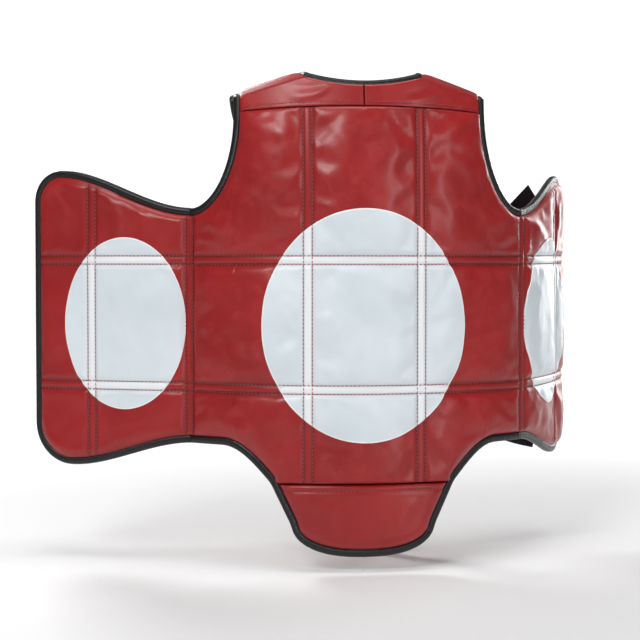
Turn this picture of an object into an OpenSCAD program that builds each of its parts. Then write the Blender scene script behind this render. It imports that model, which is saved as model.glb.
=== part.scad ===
// Quilted chest protector: a padded chest panel with two folding side wings,
// a lower flap, crossed shoulder strips and a tied webbing harness at the back.
// The wearer faces -Y, Z is up, X points to the wearer's left. Millimetres.

/* [Chest panel] */
// Radius of the chest panel's curve, seen from above
panel_r = 257; // [240:1:300]
// Length along the curve from the centre line to the fold of a wing
fold_s = 192; // [186:1:198]
// Half the width of the centre column of quilting
column_s = 57.5; // [50:0.5:64]
// Height of the upper quilting channel above the centre of the target
upper_row = 67; // [60:1:72]
// Depth of the lower quilting channel below the centre of the target
lower_row = 66; // [60:1:72]
// How far the top of the panel leans back towards the wearer
top_lean = 14; // [0:1:20]

/* [Padding] */
// Thickness of the foam blocks
foam_t = 16; // [12:1:20]
// Thickness of the outer cover and of the lining
cover_t = 1.2; // [1:0.1:1.6]
// Diameter of the edge binding
binding_d = 8.8; // [7:0.2:9]
// Width of the channel between two foam blocks
channel_w = 10; // [9:0.5:12]

/* [Wings] */
// Length of a wing from its fold to its free edge
wing_l = 181; // [176:1:190]
// Where the outer channel crosses a wing, measured from its fold
wing_line = 109; // [104:1:114]
// How far a wing curls from its fold to its edge, in degrees
wing_curl = 16; // [8:1:24]
// Angle of the wearer's right wing behind the frontal plane, in degrees
right_angle = 15; // [5:1:60]
// Angle of the wearer's left wing behind the frontal plane, in degrees
left_angle = 55; // [30:1:64]

/* [Targets] */
// Width of the centre target
target_w = 207; // [190:1:215]
// Height of the centre target
target_h = 240; // [220:1:246]
// Width of a side target
side_target_w = 135; // [120:1:140]
// Height of a side target
side_target_h = 182; // [160:1:190]

/* [Webbing] */
// Width of the lower straps, the loops and the narrow tails
narrow_w = 25; // [22:1:26]
// Width of the upper straps
wide_w = 30; // [26:1:31]
// Thickness of the webbing
webbing_t = 1.8; // [1.4:0.1:2]

/* [Hidden] */

red = "#a3201f";
white = "#dde5ea";
black = "#17171a";
rad = 180 / PI;

// heights along the panel, measured from the centre of the main target
seam_z = 225;         // yoke seam on the centre line
seam_drop = 5;        // how much lower that seam is at the shoulder tip
neck_z = 252;         // neck edge on the centre line
neck_rise = 8;        // how much higher the neck corners are
neck_s = 57;          // neck corner, along the curve
tip_s = 138;          // shoulder tip, along the curve
shoulder_drop = 23;   // fall of the shoulder line from neck corner to tip
flap_seam = -163;     // top of the lower flap
flap_s = 98;          // half the flap's width at its seam
flap_taper = 0.5;     // how much each side of the flap draws in per unit of depth
flap_knee = -206;     // where the flap's rounded end begins
flap_end = -239;      // lowest edge of the flap
hem_z = -126;         // bottom edge beside the flap
hem_run = 54;         // length of the curve between flap and level hem
armhole_z = 122;      // lowest point of the armhole
wing_top = 163;       // upper edge of a wing near its corner
wing_bottom = -153;   // lower edge of a wing near its corner
top_corner = 33;      // radius of a wing's upper corner
bottom_corner = 45;   // radius of a wing's lower corner
lean_from = 120;      // the panel is straight below this height

skin_gap = 0.2;                            // air between a foam block and its skins
level = [1.6, 0.36 * foam_t, foam_t / 2];  // half thickness of a block at its rim, shoulder and field
skin = level[2] + skin_gap + cover_t;      // from the middle surface to a skin's outer face
mid_y = -skin;                             // the lining's inner face passes through the origin
rim = binding_d + 0.2;                     // skins stop short of the binding
foam_rim = rim + 1.5;                      // and foam a little earlier still
half_channel = channel_w / 2;
shoulder_w = 12;                           // width of a foam block's rounded rim
fold_gap = 1.4;                            // skins stop this far from a fold line

// ---- surfaces: a length along the body, a height and a distance outwards give a point
function lean(z) = z < lean_from ? 0 : top_lean * pow((z - lean_from) / (neck_z - lean_from), 2);
function chest(s, z, t) = let (a = s / panel_r * rad)
    [(panel_r + t) * sin(a), mid_y + panel_r - (panel_r + t) * cos(a) + lean(z), z];
function wing(first, w, z, t) = let (
        a = first + w / wing_l * wing_curl,
        r = wing_l / wing_curl * rad,
        f = chest(fold_s, 0, 0))
    [f.x + r * (sin(a) - sin(first)) + t * sin(a), f.y + r * (cos(first) - cos(a)) - t * cos(a), z];

// ---- outlines, each drawn in by e from the finished edge
function ease(p) = let (q = min(max(p, 0), 1)) q * q * (3 - 2 * q);
function seam(s) = seam_z - seam_drop * pow(s / tip_s, 2);
function armhole(s, e) = let (
        a = fold_s - tip_s + e,
        b = seam(tip_s) - armhole_z + e,
        q = min((fold_s - abs(s)) / a, 1))
    seam(tip_s) - b * sqrt(1 - q * q);
function panel_top(s, e) = abs(s) <= tip_s - e ? seam(s) - fold_gap - (e - rim) : armhole(s, e);
function hem_slope(s) = let (q = (abs(s) - flap_s) / hem_run)
    q >= 1 ? 0 : (hem_z - flap_seam) * PI / 2 / hem_run * (q <= 0 ? 1 : cos(90 * q));
function hem(s) = let (q = (abs(s) - flap_s) / hem_run)
    q >= 1 ? hem_z : q <= 0 ? flap_seam + hem_slope(s) * (abs(s) - flap_s)
    : flap_seam + (hem_z - flap_seam) * sin(90 * q);
function hem_in(s, e) = hem(s) + e * sqrt(1 + pow(hem_slope(s), 2));
function panel_bottom(s, e) = max(flap_seam + fold_gap + max(e - rim, 0), hem_in(s, e));
function corner(w, r, e) = let (q = max(w - (wing_l - r), 0)) sqrt(max(pow(r - e, 2) - q * q, 0));
function wing_high(w, e) =
    w <= wing_l - top_corner ? armhole_z + (wing_top - armhole_z) * ease(w / (wing_l - top_corner)) - e
    : wing_top - top_corner + corner(w, top_corner, e);
function wing_low(w, e) =
    w <= wing_l - bottom_corner ? hem_z + (wing_bottom - hem_z) * ease(w / (wing_l - bottom_corner)) + e
    : wing_bottom + bottom_corner - corner(w, bottom_corner, e);
function flap_half(z, e) = let (q = (flap_knee - z) / (flap_knee - flap_end - e))
    flap_s - 1.15 * e - flap_taper * (flap_seam - max(z, flap_knee))
    - (q > 0 ? (flap_s - 1.15 * e - flap_taper * (flap_seam - flap_knee)) * (1 - pow(max(1 - q * q, 0), 0.4)) : 0);

// ---- grids
row_steps = 1;                // even steps up the field of one cell
// positions across one cell: its rim, the rounded rim's shoulder, n even steps, and back
function cell(a, b, n) = [a, a + 0.35 * shoulder_w,
    for (i = [0 : n]) a + shoulder_w + (b - a - 2 * shoulder_w) * i / n, b - 0.35 * shoulder_w, b];
function rank(i, n) = level[min(i, n - i, 2)];

// a closed slab between two faces; face(i, j, k) gives its points, k being 0 outside and 1 inside
module slab(nu, nv, face) {
    row = nu + 1;
    layer = row * (nv + 1);
    quad = function (a, b, c, d) [[a, b, c], [a, c, d]];
    polyhedron(
        points = [for (k = [0, 1], j = [0 : nv], i = [0 : nu]) face(i, j, k)],
        faces = [
            for (j = [0 : nv - 1], i = [0 : nu - 1], f = let (a = j * row + i)
                quad(a, a + row, a + row + 1, a + 1)) f,
            for (j = [0 : nv - 1], i = [0 : nu - 1], f = let (a = layer + j * row + i)
                quad(a, a + 1, a + row + 1, a + row)) f,
            for (i = [0 : nu - 1], f = quad(i, i + 1, layer + i + 1, layer + i)) f,
            for (i = [0 : nu - 1], f = let (a = nv * row + i)
                quad(a, layer + a, layer + a + 1, a + 1)) f,
            for (j = [0 : nv - 1], f = let (a = j * row)
                quad(a, layer + a, layer + a + row, a + row)) f,
            for (j = [0 : nv - 1], f = let (a = j * row + nu)
                quad(a, a + row, layer + a + row, layer + a)) f
        ]);
}

// one foam block: across is its list of positions, low and high give its ends at each of them
module block(across, low, high, place) {
    n = len(across) - 1;
    m = row_steps + 4;
    slab(n, m, function (i, j, k)
        let (z = cell(low(across[i]), high(across[i]), row_steps)[j], h = min(rank(i, n), rank(j, m)))
        place(across[i], z, k == 0 ? h : -h));
}

// one skin over a row of cells; side is 1 for the cover and -1 for the lining
module cover_skin(across, ranks, low, high, foam_low, foam_high, place, side) {
    lines = function (s) [low(s), each cell(foam_low(s), -lower_row - half_channel, row_steps), -lower_row,
        each cell(-lower_row + half_channel, upper_row - half_channel, row_steps), upper_row,
        each cell(upper_row + half_channel, foam_high(s), row_steps), high(s)];
    up = [level[0], for (r = [0 : 2]) each [for (j = [0 : row_steps + 4]) rank(j, row_steps + 4), level[0]]];
    slab(len(across) - 1, len(up) - 1, function (i, j, k)
        let (h = min(ranks[i], up[j]) + skin_gap, outer = side > 0 ? 1 - k : k)
        place(across[i], lines(across[i])[j], side * (h + outer * cover_t)));
}

// a bar swept along a list of [point, width direction]; ring lists its corners in the cross-section
module bar(route, ring) {
    n = len(route);
    m = len(ring);
    unit = function (v) v / norm(v);
    rings = [for (i = [0 : n - 1]) let (
            t = unit(route[min(i + 1, n - 1)][0] - route[max(i - 1, 0)][0]),
            w = unit(route[i][1] - (route[i][1] * t) * t),
            u = cross(t, w))
        [for (c = ring) route[i][0] + c.x * w + c.y * u]];
    polyhedron(
        points = [for (r = rings, p = r) p],
        faces = [
            [for (k = [0 : m - 1]) k],
            for (i = [0 : n - 2], k = [0 : m - 1]) [i * m + k, (i + 1) * m + k, (i + 1) * m + (k + 1) % m],
            for (i = [0 : n - 2], k = [0 : m - 1]) [i * m + k, (i + 1) * m + (k + 1) % m, i * m + (k + 1) % m],
            [for (k = [m - 1 : -1 : 0]) (n - 1) * m + k]
        ]);
}
function round_ring(d) = [for (a = [22.5 : 45 : 359]) [cos(a), sin(a)] * d / 2];
function band_ring(w) = [[1, 1], [-1, 1], [-1, -1], [1, -1]] * [[w / 2, 0], [0, webbing_t / 2]];

// a smooth curve through a list of [point, width direction], n steps between neighbours
function smooth(route, n) = let (last = len(route) - 1) [
    for (i = [0 : last - 1], k = [0 : n - 1]) let (
            q = k / n,
            a = route[max(i - 1, 0)], b = route[i], c = route[i + 1], d = route[min(i + 2, last)])
        (2 * b + (c - a) * q + (2 * a - 5 * b + 4 * c - d) * q * q + (3 * b - a - 3 * c + d) * q * q * q) / 2,
    route[last]];

// ---- columns of the chest panel and of a wing
centre_cell = cell(-column_s + half_channel, column_s - half_channel, 3);
side_cell = let (a = column_s + half_channel, b = fold_s - half_channel, e = tip_s - rim) [
    a, a + 0.35 * shoulder_w, a + shoulder_w, (a + shoulder_w + e) / 2, e,
    e + 4, e + 12, e + 26, b - shoulder_w, b - 0.35 * shoulder_w, b];
right_cell = -[for (i = [len(side_cell) - 1 : -1 : 0]) side_cell[i]];
inner_cell = cell(half_channel, wing_line - half_channel, 2);
outer_cell = let (a = wing_line + half_channel, b = wing_l - foam_rim) [
    a, a + 0.35 * shoulder_w, a + shoulder_w, wing_l - bottom_corner + 2, wing_l - top_corner,
    b - shoulder_w, b - 0.35 * shoulder_w, b - 0.1 * shoulder_w];
function ranks_of(c) = [for (i = [0 : len(c) - 1]) rank(i, len(c) - 1)];

chest_lines = [-fold_s + fold_gap, each right_cell, -column_s, each centre_cell, column_s,
    each side_cell, fold_s - fold_gap];
chest_ranks = [level[0], each ranks_of(right_cell), level[0], each ranks_of(centre_cell), level[0],
    each ranks_of(side_cell), level[0]];
wing_lines = [fold_gap, each inner_cell, wing_line, each outer_cell, wing_l - rim];
wing_ranks = [level[0], each ranks_of(inner_cell), level[0], each ranks_of(outer_cell), level[0]];

module in_right_wing() mirror([1, 0, 0]) children();

// ---- chest panel
module chest_skin(side) color(red)
    cover_skin(chest_lines, chest_ranks,
        function (s) panel_bottom(s, rim), function (s) panel_top(s, rim),
        function (s) panel_bottom(s, foam_rim), function (s) panel_top(s, foam_rim),
        function (s, z, t) chest(s, z, t), side);

module chest_foam(column, row) color("khaki")
    block([right_cell, centre_cell, side_cell][column],
        function (s) [panel_bottom(s, foam_rim), -lower_row + half_channel, upper_row + half_channel][row],
        function (s) [-lower_row - half_channel, upper_row - half_channel, panel_top(s, foam_rim)][row],
        function (s, z, t) chest(s, z, t));

// an oval plate lying on the cover, made of rings about its centre
module target(w, h, place) color(white) {
    rings = [0.02, 0.35, 0.7, 0.92, 1];
    turns = 24;
    inner = skin + 0.8;
    slab_point = function (i, j, k) place(
        rings[i] * w / 2 * cos(360 / turns * j), rings[i] * h / 2 * sin(360 / turns * j),
        inner + (k == 0 ? cover_t : 0));
    tris = function (a, b, c, d) [[a, b, c], [a, c, d]];
    nr = len(rings);
    n = nr * turns;
    polyhedron(
        points = [for (k = [0, 1], j = [0 : turns - 1], i = [0 : nr - 1]) slab_point(i, j, k)],
        faces = [
            for (j = [0 : turns - 1], i = [0 : nr - 2], f = let (a = j * nr + i, b = (j + 1) % turns * nr + i)
                tris(a, b, b + 1, a + 1)) f,
            for (j = [0 : turns - 1], i = [0 : nr - 2], f = let (a = n + j * nr + i, b = n + (j + 1) % turns * nr + i)
                tris(a, a + 1, b + 1, b)) f,
            for (j = [0 : turns - 1], f = let (a = j * nr + nr - 1, b = (j + 1) % turns * nr + nr - 1)
                tris(a, b, b + n, a + n)) f,
            [for (j = [turns - 1 : -1 : 0]) j * nr],
            [for (j = [0 : turns - 1]) n + j * nr]
        ]);
}

// ---- yoke and shoulder strips
yoke_t = 5;                   // half thickness of the yoke and the strips
function yoke_top(s) = abs(s) <= neck_s ? neck_z + neck_rise * pow(s / neck_s, 2) - rim
    : neck_z + neck_rise - rim - shoulder_drop * (abs(s) - neck_s) / (tip_s - neck_s);
module yoke() color(red) {
    across = [0.3, 20, 40, neck_s, 75, 95, 112, tip_s - rim];
    up = [0, 0.2, 0.5, 0.8, 1];
    slab(len(across) - 1, len(up) - 1, function (i, j, k)
        let (s = across[i],
            z = seam(s) + fold_gap + (yoke_top(s) - seam(s) - fold_gap) * up[j],
            h = (i == 0 || i == len(across) - 1 || j == 0 || j == len(up) - 1) ? yoke_t * 0.5 : yoke_t)
        chest(s, z, k == 0 ? h : -h));
}

// cross-sections of a strip as [neck side, arm side], from the shoulder line over and down the back
strip_sections = [
    [[58, 13, 255], [125, 37, 235]],
    [[61, 18, 257], [127, 42, 238]],
    [[66, 28, 258], [130, 51, 239]],
    [[72, 42, 252], [131, 62, 231]],
    [[69, 54, 235], [121, 72, 202]],
    [[44, 70, 198], [88, 81, 154]],
    [[-1, 80, 142], [44, 86, 94]],
    [[-28, 81, 92], [12, 84, 50]]];
function strip_at(sections, lift) = [for (i = [0 : len(sections) - 1])
    let (q = max(i - 3, 0) / 4) [for (p = sections[i]) p + [0, lift * ease(q), 0]]];
module strip(lift) color(red) {
    rows = smooth(strip_at(strip_sections, lift), 3);
    n = len(rows) - 1;
    across = [0.07, 0.2, 0.5, 0.8, 0.93];
    rising = [0.5, 0.9, 1, 0.9, 0.5];
    slab(len(across) - 1, n, function (i, j, k)
        let (
            along = rows[min(j + 1, n)][0] + rows[min(j + 1, n)][1] - rows[max(j - 1, 0)][0] - rows[max(j - 1, 0)][1],
            wide = rows[j][1] - rows[j][0],
            out = cross(along, wide) / norm(cross(along, wide)),
            h = yoke_t * rising[i] * (j == 0 || j == n ? 0.6 : 1))
        rows[j][0] + wide * across[i] + out * (k == 0 ? h : -h));
}
module strip_edge(lift) color(black) {
    rows = smooth(strip_at(strip_sections, lift), 3);
    n = len(rows) - 1;
    wide = [for (r = rows) (r[1] - r[0]) / norm(r[1] - r[0])];
    d = binding_d * 0.8;
    drop = rows[n][0] + rows[n][1] - rows[n - 1][0] - rows[n - 1][1];
    down = drop / norm(drop);
    end_w = norm(rows[n][1] - rows[n][0]);
    route = [
        for (i = [0 : n]) [rows[i][0] - wide[i] * 0.5, wide[i]],
        for (a = [30 : 30 : 150]) [(rows[n][0] + rows[n][1]) / 2 - wide[n] * end_w / 2 * cos(a)
            + down * (d * 0.9 + 4 * sin(a)), wide[n] * cos(a) - down * sin(a)],
        for (i = [n : -1 : 0]) [rows[i][1] + wide[i] * 0.5, -wide[i]]];
    bar(route, round_ring(d));
}

// ---- bindings
function along_edge(path, place) = [for (p = path) [place(p.x, p.y, 0), place(p.x, p.y, 1) - place(p.x, p.y, -1)]];
edge_in = binding_d / 2;
module neck_edge() color(black)
    bar(along_edge([for (s = [-54 : 9 : 54]) [s, yoke_top(s) + rim - edge_in]],
        function (s, z, t) chest(s, z, t)), round_ring(binding_d));
module armhole_edge() color(black) {
    a = fold_s - tip_s + edge_in;
    b = seam(tip_s) - armhole_z + edge_in;
    bar(along_edge([
            for (z = [seam(tip_s) + 5, seam(tip_s) + 2]) [tip_s - edge_in, z],
            for (q = [0 : 10 : 80]) [fold_s - a * cos(q), seam(tip_s) - b * sin(q)],
            [fold_s - 2.4, armhole_z - edge_in]],
        function (s, z, t) chest(s, z, t)), round_ring(binding_d));
}
module hem_edge() color(black)
    bar(along_edge([for (s = [fold_s - 2.4, 180, 165, 152, 142, 132, 122, 112, 104, 98, 94.5])
            [s, hem_in(s, edge_in)]],
        function (s, z, t) chest(s, z, t)), round_ring(binding_d));
module wing_edge(first) color(black) {
    tc = top_corner - edge_in;
    bc = bottom_corner - edge_in;
    bar(along_edge([
            for (w = [2.4, 20, 40, 60, 80, 100, 120, 140]) [w, wing_high(w, edge_in)],
            for (q = [90 : -18 : 0])
                [wing_l - top_corner + tc * cos(q), wing_top - top_corner + tc * sin(q)],
            for (z = [wing_top - top_corner - 60 : -60 : wing_bottom + bottom_corner + 20]) [wing_l - edge_in, z],
            for (q = [0 : -18 : -90])
                [wing_l - bottom_corner + bc * cos(q), wing_bottom + bottom_corner + bc * sin(q)],
            for (w = [120, 100, 80, 60, 40, 20, 2.4]) [w, wing_low(w, edge_in)]],
        function (w, z, t) wing(first, w, z, t)), round_ring(binding_d));
}
module flap_edge() color(black) {
    side = [for (z = [flap_seam - 6, -180, -192, -204, -214, -222, -228, -232.5])
        [flap_half(z, edge_in), z]];
    foot = [for (s = [20, 0]) [s, flap_end + edge_in + 0.3]];
    half = concat(side, foot);
    back = [for (i = [len(half) - 2 : -1 : 0]) [-half[i].x, half[i].y]];
    bar(along_edge(concat(half, back), function (s, z, t) chest(s, z, t)), round_ring(binding_d));
}

// ---- wings
module wing_skin(first, side) color(red)
    cover_skin(wing_lines, wing_ranks,
        function (w) wing_low(w, rim), function (w) wing_high(w, rim),
        function (w) wing_low(w, foam_rim), function (w) wing_high(w, foam_rim),
        function (w, z, t) wing(first, w, z, t), side);
module wing_foam(first, column, row) color("khaki")
    block([inner_cell, outer_cell][column],
        function (w) [wing_low(w, foam_rim), -lower_row + half_channel, upper_row + half_channel][row],
        function (w) [-lower_row - half_channel, upper_row - half_channel, wing_high(w, foam_rim)][row],
        function (w, z, t) wing(first, w, z, t));
module wing_target(first)
    target(side_target_w, side_target_h, function (x, z, t) wing(first, x + side_target_at, z, t));
side_target_at = 72;          // centre of a side target, from the fold

// ---- lower flap
flap_up = [flap_seam - fold_gap, -167, -172, -182, -194, -206, -215, -222, -226, -228.4];
module flap_skin(side) color(red) {
    across = [-1, -0.96, -0.86, -0.5, 0, 0.5, 0.86, 0.96, 1];
    n = len(flap_up) - 1;
    slab(len(across) - 1, n, function (i, j, k)
        let (h = min(rank(i, len(across) - 1), rank(j, n)) + skin_gap, outer = side > 0 ? 1 - k : k)
        chest(across[i] * flap_half(flap_up[n - j], rim), flap_up[n - j], side * (h + outer * cover_t)));
}
module flap_core() color("khaki") {
    across = [-0.94, -0.91, -0.82, -0.48, 0, 0.48, 0.82, 0.91, 0.94];
    up = [for (z = flap_up) z - 0.8 * ease((z - flap_knee) / 40) + (z < -226 ? 1.5 : 0)];
    n = len(up) - 1;
    slab(len(across) - 1, n, function (i, j, k)
        let (h = min(rank(i, len(across) - 1), rank(j, n)))
        chest(across[i] * flap_half(flap_up[n - j], rim), up[n - j], (k == 0 ? h : -h) * 0.9));
}

// ---- webbing: each route is a list of [point, width direction]
upper_left_route = [
    [[226, 204, 142], [-0.6, -0.3, 0.8]], [[190, 184, 108], [-0.6, -0.3, 0.7]],
    [[120, 142, 42], [-0.66, -0.31, 0.67]], [[70, 116, -6], [-0.66, -0.31, 0.67]],
    [[44, 103, -28], [-0.6, -0.2, 0.8]]];
upper_right_route = [
    [[-316, 134, 138], [0.5, 0, 0.9]], [[-264, 130, 104], [0.5, 0.3, 0.8]],
    [[-204, 124, 62], [0.2, 1, 0.3]], [[-120, 115, 10], [0.3, 0.9, 0.4]],
    [[-50, 106, -26], [0.4, 0.3, 0.9]], [[-8, 100, -42], [0.4, 0, 0.9]]];
lower_left_route = [
    [[14, 101.5, 62], [0.6, 0, 0.8]], [[36, 104, 42], [0.62, 0.15, 0.75]],
    [[76, 123, 8], [0.66, 0.33, 0.67]], [[112, 139, -28], [0.66, 0.33, 0.67]],
    [[144, 153, -66], [0.6, 0.2, 0.8]], [[164, 164, -92], [0.6, 0, 0.8]],
    [[169, 163, -98], [0.6, 0, 0.8]], [[164, 157, -99], [0.5, 0, 0.9]],
    [[140, 140, -98], [0.3, 0, 1]], [[108, 120, -96], [0.1, 0.3, 1]], [[90, 108, -94], [0, 0.3, 1]]];
lower_right_route = [
    [[-6, 87, 76], [-0.5, 0, 0.8]], [[-36, 89, 62], [-0.5, 0, 0.8]],
    [[-80, 93, 38], [-0.6, 0, 0.8]], [[-118, 98, 4], [-0.7, 0, 0.7]],
    [[-150, 103, -36], [-0.7, 0, 0.7]], [[-178, 108, -68], [-0.6, 0, 0.8]],
    [[-212, 113, -88], [-0.4, 0, 0.9]], [[-244, 119, -98], [-0.3, 0, 1]],
    [[-250, 117, -100], [-0.3, 0, 1]], [[-246, 112, -101], [-0.3, 0, 1]],
    [[-180, 104, -88], [-0.3, 0, 1]], [[-110, 99, -66], [-0.3, 0, 1]],
    [[-50, 97, -50], [-0.3, 0, 1]], [[-14, 95, -42], [-0.3, 0, 1]]];
hanging_route = [
    [[60, 106, -112], [1, 0, 0.1]], [[72, 114, -132], [1, 0, 0.1]], [[80, 116, -164], [1, 0, -0.2]],
    [[66, 108, -198], [0.9, 0, -0.4]], [[46, 103, -226], [0.9, 0.1, -0.4]],
    [[32, 110, -245], [0.9, 0.1, -0.4]], [[32, 121, -243], [0.9, 0.1, -0.3]], [[36, 125, -234], [0.9, 0, -0.2]]];
right_tail_route = [
    [[36, 112, -74], [0, 0, 1]], [[14, 120, -80], [0, 0, 1]], [[-14, 122, -86], [0.2, 0, 1]],
    [[-38, 117, -95], [0.3, 0, 1]], [[-58, 109, -106], [0.4, 0.1, 1]]];
left_tail_route = [
    [[84, 99, -104], [0.5, 0, 0.8]], [[98, 103, -113], [0.6, 0, 0.8]],
    [[112, 105, -124], [0.6, 0, 0.8]], [[124, 103, -136], [0.6, 0, 0.8]]];
folded_route = [
    [[24, 110, -30], [1, 0, 0]], [[24, 114, -14], [1, 0, 0.2]], [[22, 116, 0], [0.8, 0, 0.6]],
    [[10, 118, 9], [0.4, 0, 0.9]], [[-10, 117, 13], [0, 0, 1]], [[-38, 112, 12], [0, 0, 1]]];
left_loop_route = [
    [[226, 196, -112], [0, 0, 1]], [[206, 187, -108], [-0.2, 0.5, 0.8]],
    [[187, 177, -101], [-0.4, 0.9, 0.3]], [[177, 171, -112], [-0.4, 0.9, 0]],
    [[187, 176, -124], [-0.4, 0.9, -0.3]], [[206, 186, -131], [-0.2, 0.5, -0.8]], [[225, 195, -138], [0, 0, -1]]];
right_loop_route = [for (p = [
    [[318, 134, -108], [0, 0, 1]], [[292, 131, -102], [-0.1, 0.5, 0.8]],
    [[268, 128, -92], [-0.2, 1, 0.3]], [[257, 126, -104], [-0.2, 1, 0]],
    [[268, 127, -118], [-0.2, 1, -0.3]], [[292, 131, -128], [-0.1, 0.5, -0.8]], [[318, 134, -138], [0, 0, -1]]])
    [for (v = p) [-v.x, v.y, v.z]]];

module webbing(route, w) color(black) bar(smooth(route, 3), band_ring(w));
module knot_body() color(black) {
    hull() {
        translate([10, 98, -52]) sphere(14, $fn = 20);
        translate([30, 98, -48]) sphere(15, $fn = 20);
    }
    hull() {
        translate([52, 100, -84]) sphere(11, $fn = 20);
        translate([74, 102, -94]) sphere(11, $fn = 20);
    }
}

chest_skin(1);  // chest_cover
chest_skin(-1);  // chest_lining
chest_foam(0, 2);  // foam_upper_right
chest_foam(1, 2);  // foam_upper_centre
chest_foam(2, 2);  // foam_upper_left
chest_foam(0, 1);  // foam_middle_right
chest_foam(1, 1);  // foam_middle_centre
chest_foam(2, 1);  // foam_middle_left
chest_foam(0, 0);  // foam_lower_right
chest_foam(1, 0);  // foam_lower_centre
chest_foam(2, 0);  // foam_lower_left
target(target_w, target_h, function (s, z, t) chest(s, z, t));  // centre_target
in_right_wing() yoke();  // right_yoke
yoke();  // left_yoke
neck_edge();  // neck_binding
in_right_wing() armhole_edge();  // right_armhole_binding
armhole_edge();  // left_armhole_binding
union() { hem_edge(); in_right_wing() hem_edge(); }  // hem_binding
in_right_wing() strip(13);  // right_strip
strip(0);  // left_strip
in_right_wing() strip_edge(13);  // right_strip_binding
strip_edge(0);  // left_strip_binding
webbing(upper_right_route, wide_w);  // upper_right_strap
webbing(upper_left_route, wide_w);  // upper_left_strap
webbing(lower_right_route, narrow_w);  // lower_right_strap
webbing(lower_left_route, narrow_w);  // lower_left_strap
knot_body();  // knot
webbing(hanging_route, narrow_w);  // hanging_tail
webbing(right_tail_route, narrow_w);  // right_tail
webbing(left_tail_route, narrow_w);  // left_tail
webbing(folded_route, wide_w);  // folded_tail
in_right_wing() wing_skin(right_angle, 1);  // right_wing_cover
in_right_wing() wing_skin(right_angle, -1);  // right_wing_lining
in_right_wing() wing_edge(right_angle);  // right_wing_binding
in_right_wing() wing_target(right_angle);  // right_target
webbing(right_loop_route, narrow_w);  // right_loop
in_right_wing() wing_foam(right_angle, 0, 2);  // right_foam_inner_upper
in_right_wing() wing_foam(right_angle, 0, 1);  // right_foam_inner_middle
in_right_wing() wing_foam(right_angle, 0, 0);  // right_foam_inner_lower
in_right_wing() wing_foam(right_angle, 1, 2);  // right_foam_outer_upper
in_right_wing() wing_foam(right_angle, 1, 1);  // right_foam_outer_middle
in_right_wing() wing_foam(right_angle, 1, 0);  // right_foam_outer_lower
wing_skin(left_angle, 1);  // left_wing_cover
wing_skin(left_angle, -1);  // left_wing_lining
wing_edge(left_angle);  // left_wing_binding
wing_target(left_angle);  // left_target
webbing(left_loop_route, narrow_w);  // left_loop
wing_foam(left_angle, 0, 2);  // left_foam_inner_upper
wing_foam(left_angle, 0, 1);  // left_foam_inner_middle
wing_foam(left_angle, 0, 0);  // left_foam_inner_lower
wing_foam(left_angle, 1, 2);  // left_foam_outer_upper
wing_foam(left_angle, 1, 1);  // left_foam_outer_middle
wing_foam(left_angle, 1, 0);  // left_foam_outer_lower
flap_skin(1);  // flap_cover
flap_skin(-1);  // flap_lining
flap_core();  // flap_foam
flap_edge();  // flap_binding
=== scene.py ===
# Quilted chest protector: a padded panel, two folding wings, a lower flap, crossed shoulder
# strips and a tied webbing harness. Lengths below are millimetres unless a line says otherwise;
# every mesh is built in metres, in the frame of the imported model.
import math
import bmesh
import bpy
import numpy as np
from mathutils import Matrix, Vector


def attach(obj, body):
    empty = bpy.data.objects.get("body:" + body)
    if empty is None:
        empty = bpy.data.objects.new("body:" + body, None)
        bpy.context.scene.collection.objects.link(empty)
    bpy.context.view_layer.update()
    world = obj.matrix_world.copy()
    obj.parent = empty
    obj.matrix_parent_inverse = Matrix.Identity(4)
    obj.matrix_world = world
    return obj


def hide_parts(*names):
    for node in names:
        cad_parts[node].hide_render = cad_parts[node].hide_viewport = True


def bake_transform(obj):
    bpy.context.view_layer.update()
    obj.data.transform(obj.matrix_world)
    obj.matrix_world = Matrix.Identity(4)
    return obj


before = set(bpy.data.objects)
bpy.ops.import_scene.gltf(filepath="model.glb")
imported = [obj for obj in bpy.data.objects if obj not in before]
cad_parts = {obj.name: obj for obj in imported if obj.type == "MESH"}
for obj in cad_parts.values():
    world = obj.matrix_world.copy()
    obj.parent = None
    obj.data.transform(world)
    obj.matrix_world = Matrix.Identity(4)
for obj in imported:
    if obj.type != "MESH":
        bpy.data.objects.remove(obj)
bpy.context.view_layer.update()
mm = 0.001
full = 2 * math.pi
cutEdge = math.radians(58)  # a skin's cut edge is sharper than this and doesn't shade into its face

# the camera: azimuth in degrees, distance in metres, the rest in millimetres
cameraSet = {"azimuth": -6, "distance": 1.85, "eye": 72, "aim": (-41, 40, 4), "lens": 99}
cameraData = bpy.data.cameras.new("camera")
cameraData.lens = cameraSet["lens"]
cameraData.sensor_width = 36
camera = bpy.data.objects.new("camera", cameraData)
bpy.context.collection.objects.link(camera)
turned = math.radians(cameraSet["azimuth"])
aim = Vector(cameraSet["aim"]) * mm
camera.location = aim + Vector((math.sin(turned), -math.cos(turned), 0)) * cameraSet["distance"]
camera.location.z = cameraSet["eye"] * mm
camera.rotation_euler = (aim - camera.location).to_track_quat("-Z", "Y").to_euler()
bpy.context.scene.camera = camera


def ease(x):
    # smooth step from 0 to 1: 3 q squared less 2 q cubed
    q = np.clip(x, 0, 1)
    return q * q * (3 - 2 * q)


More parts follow.
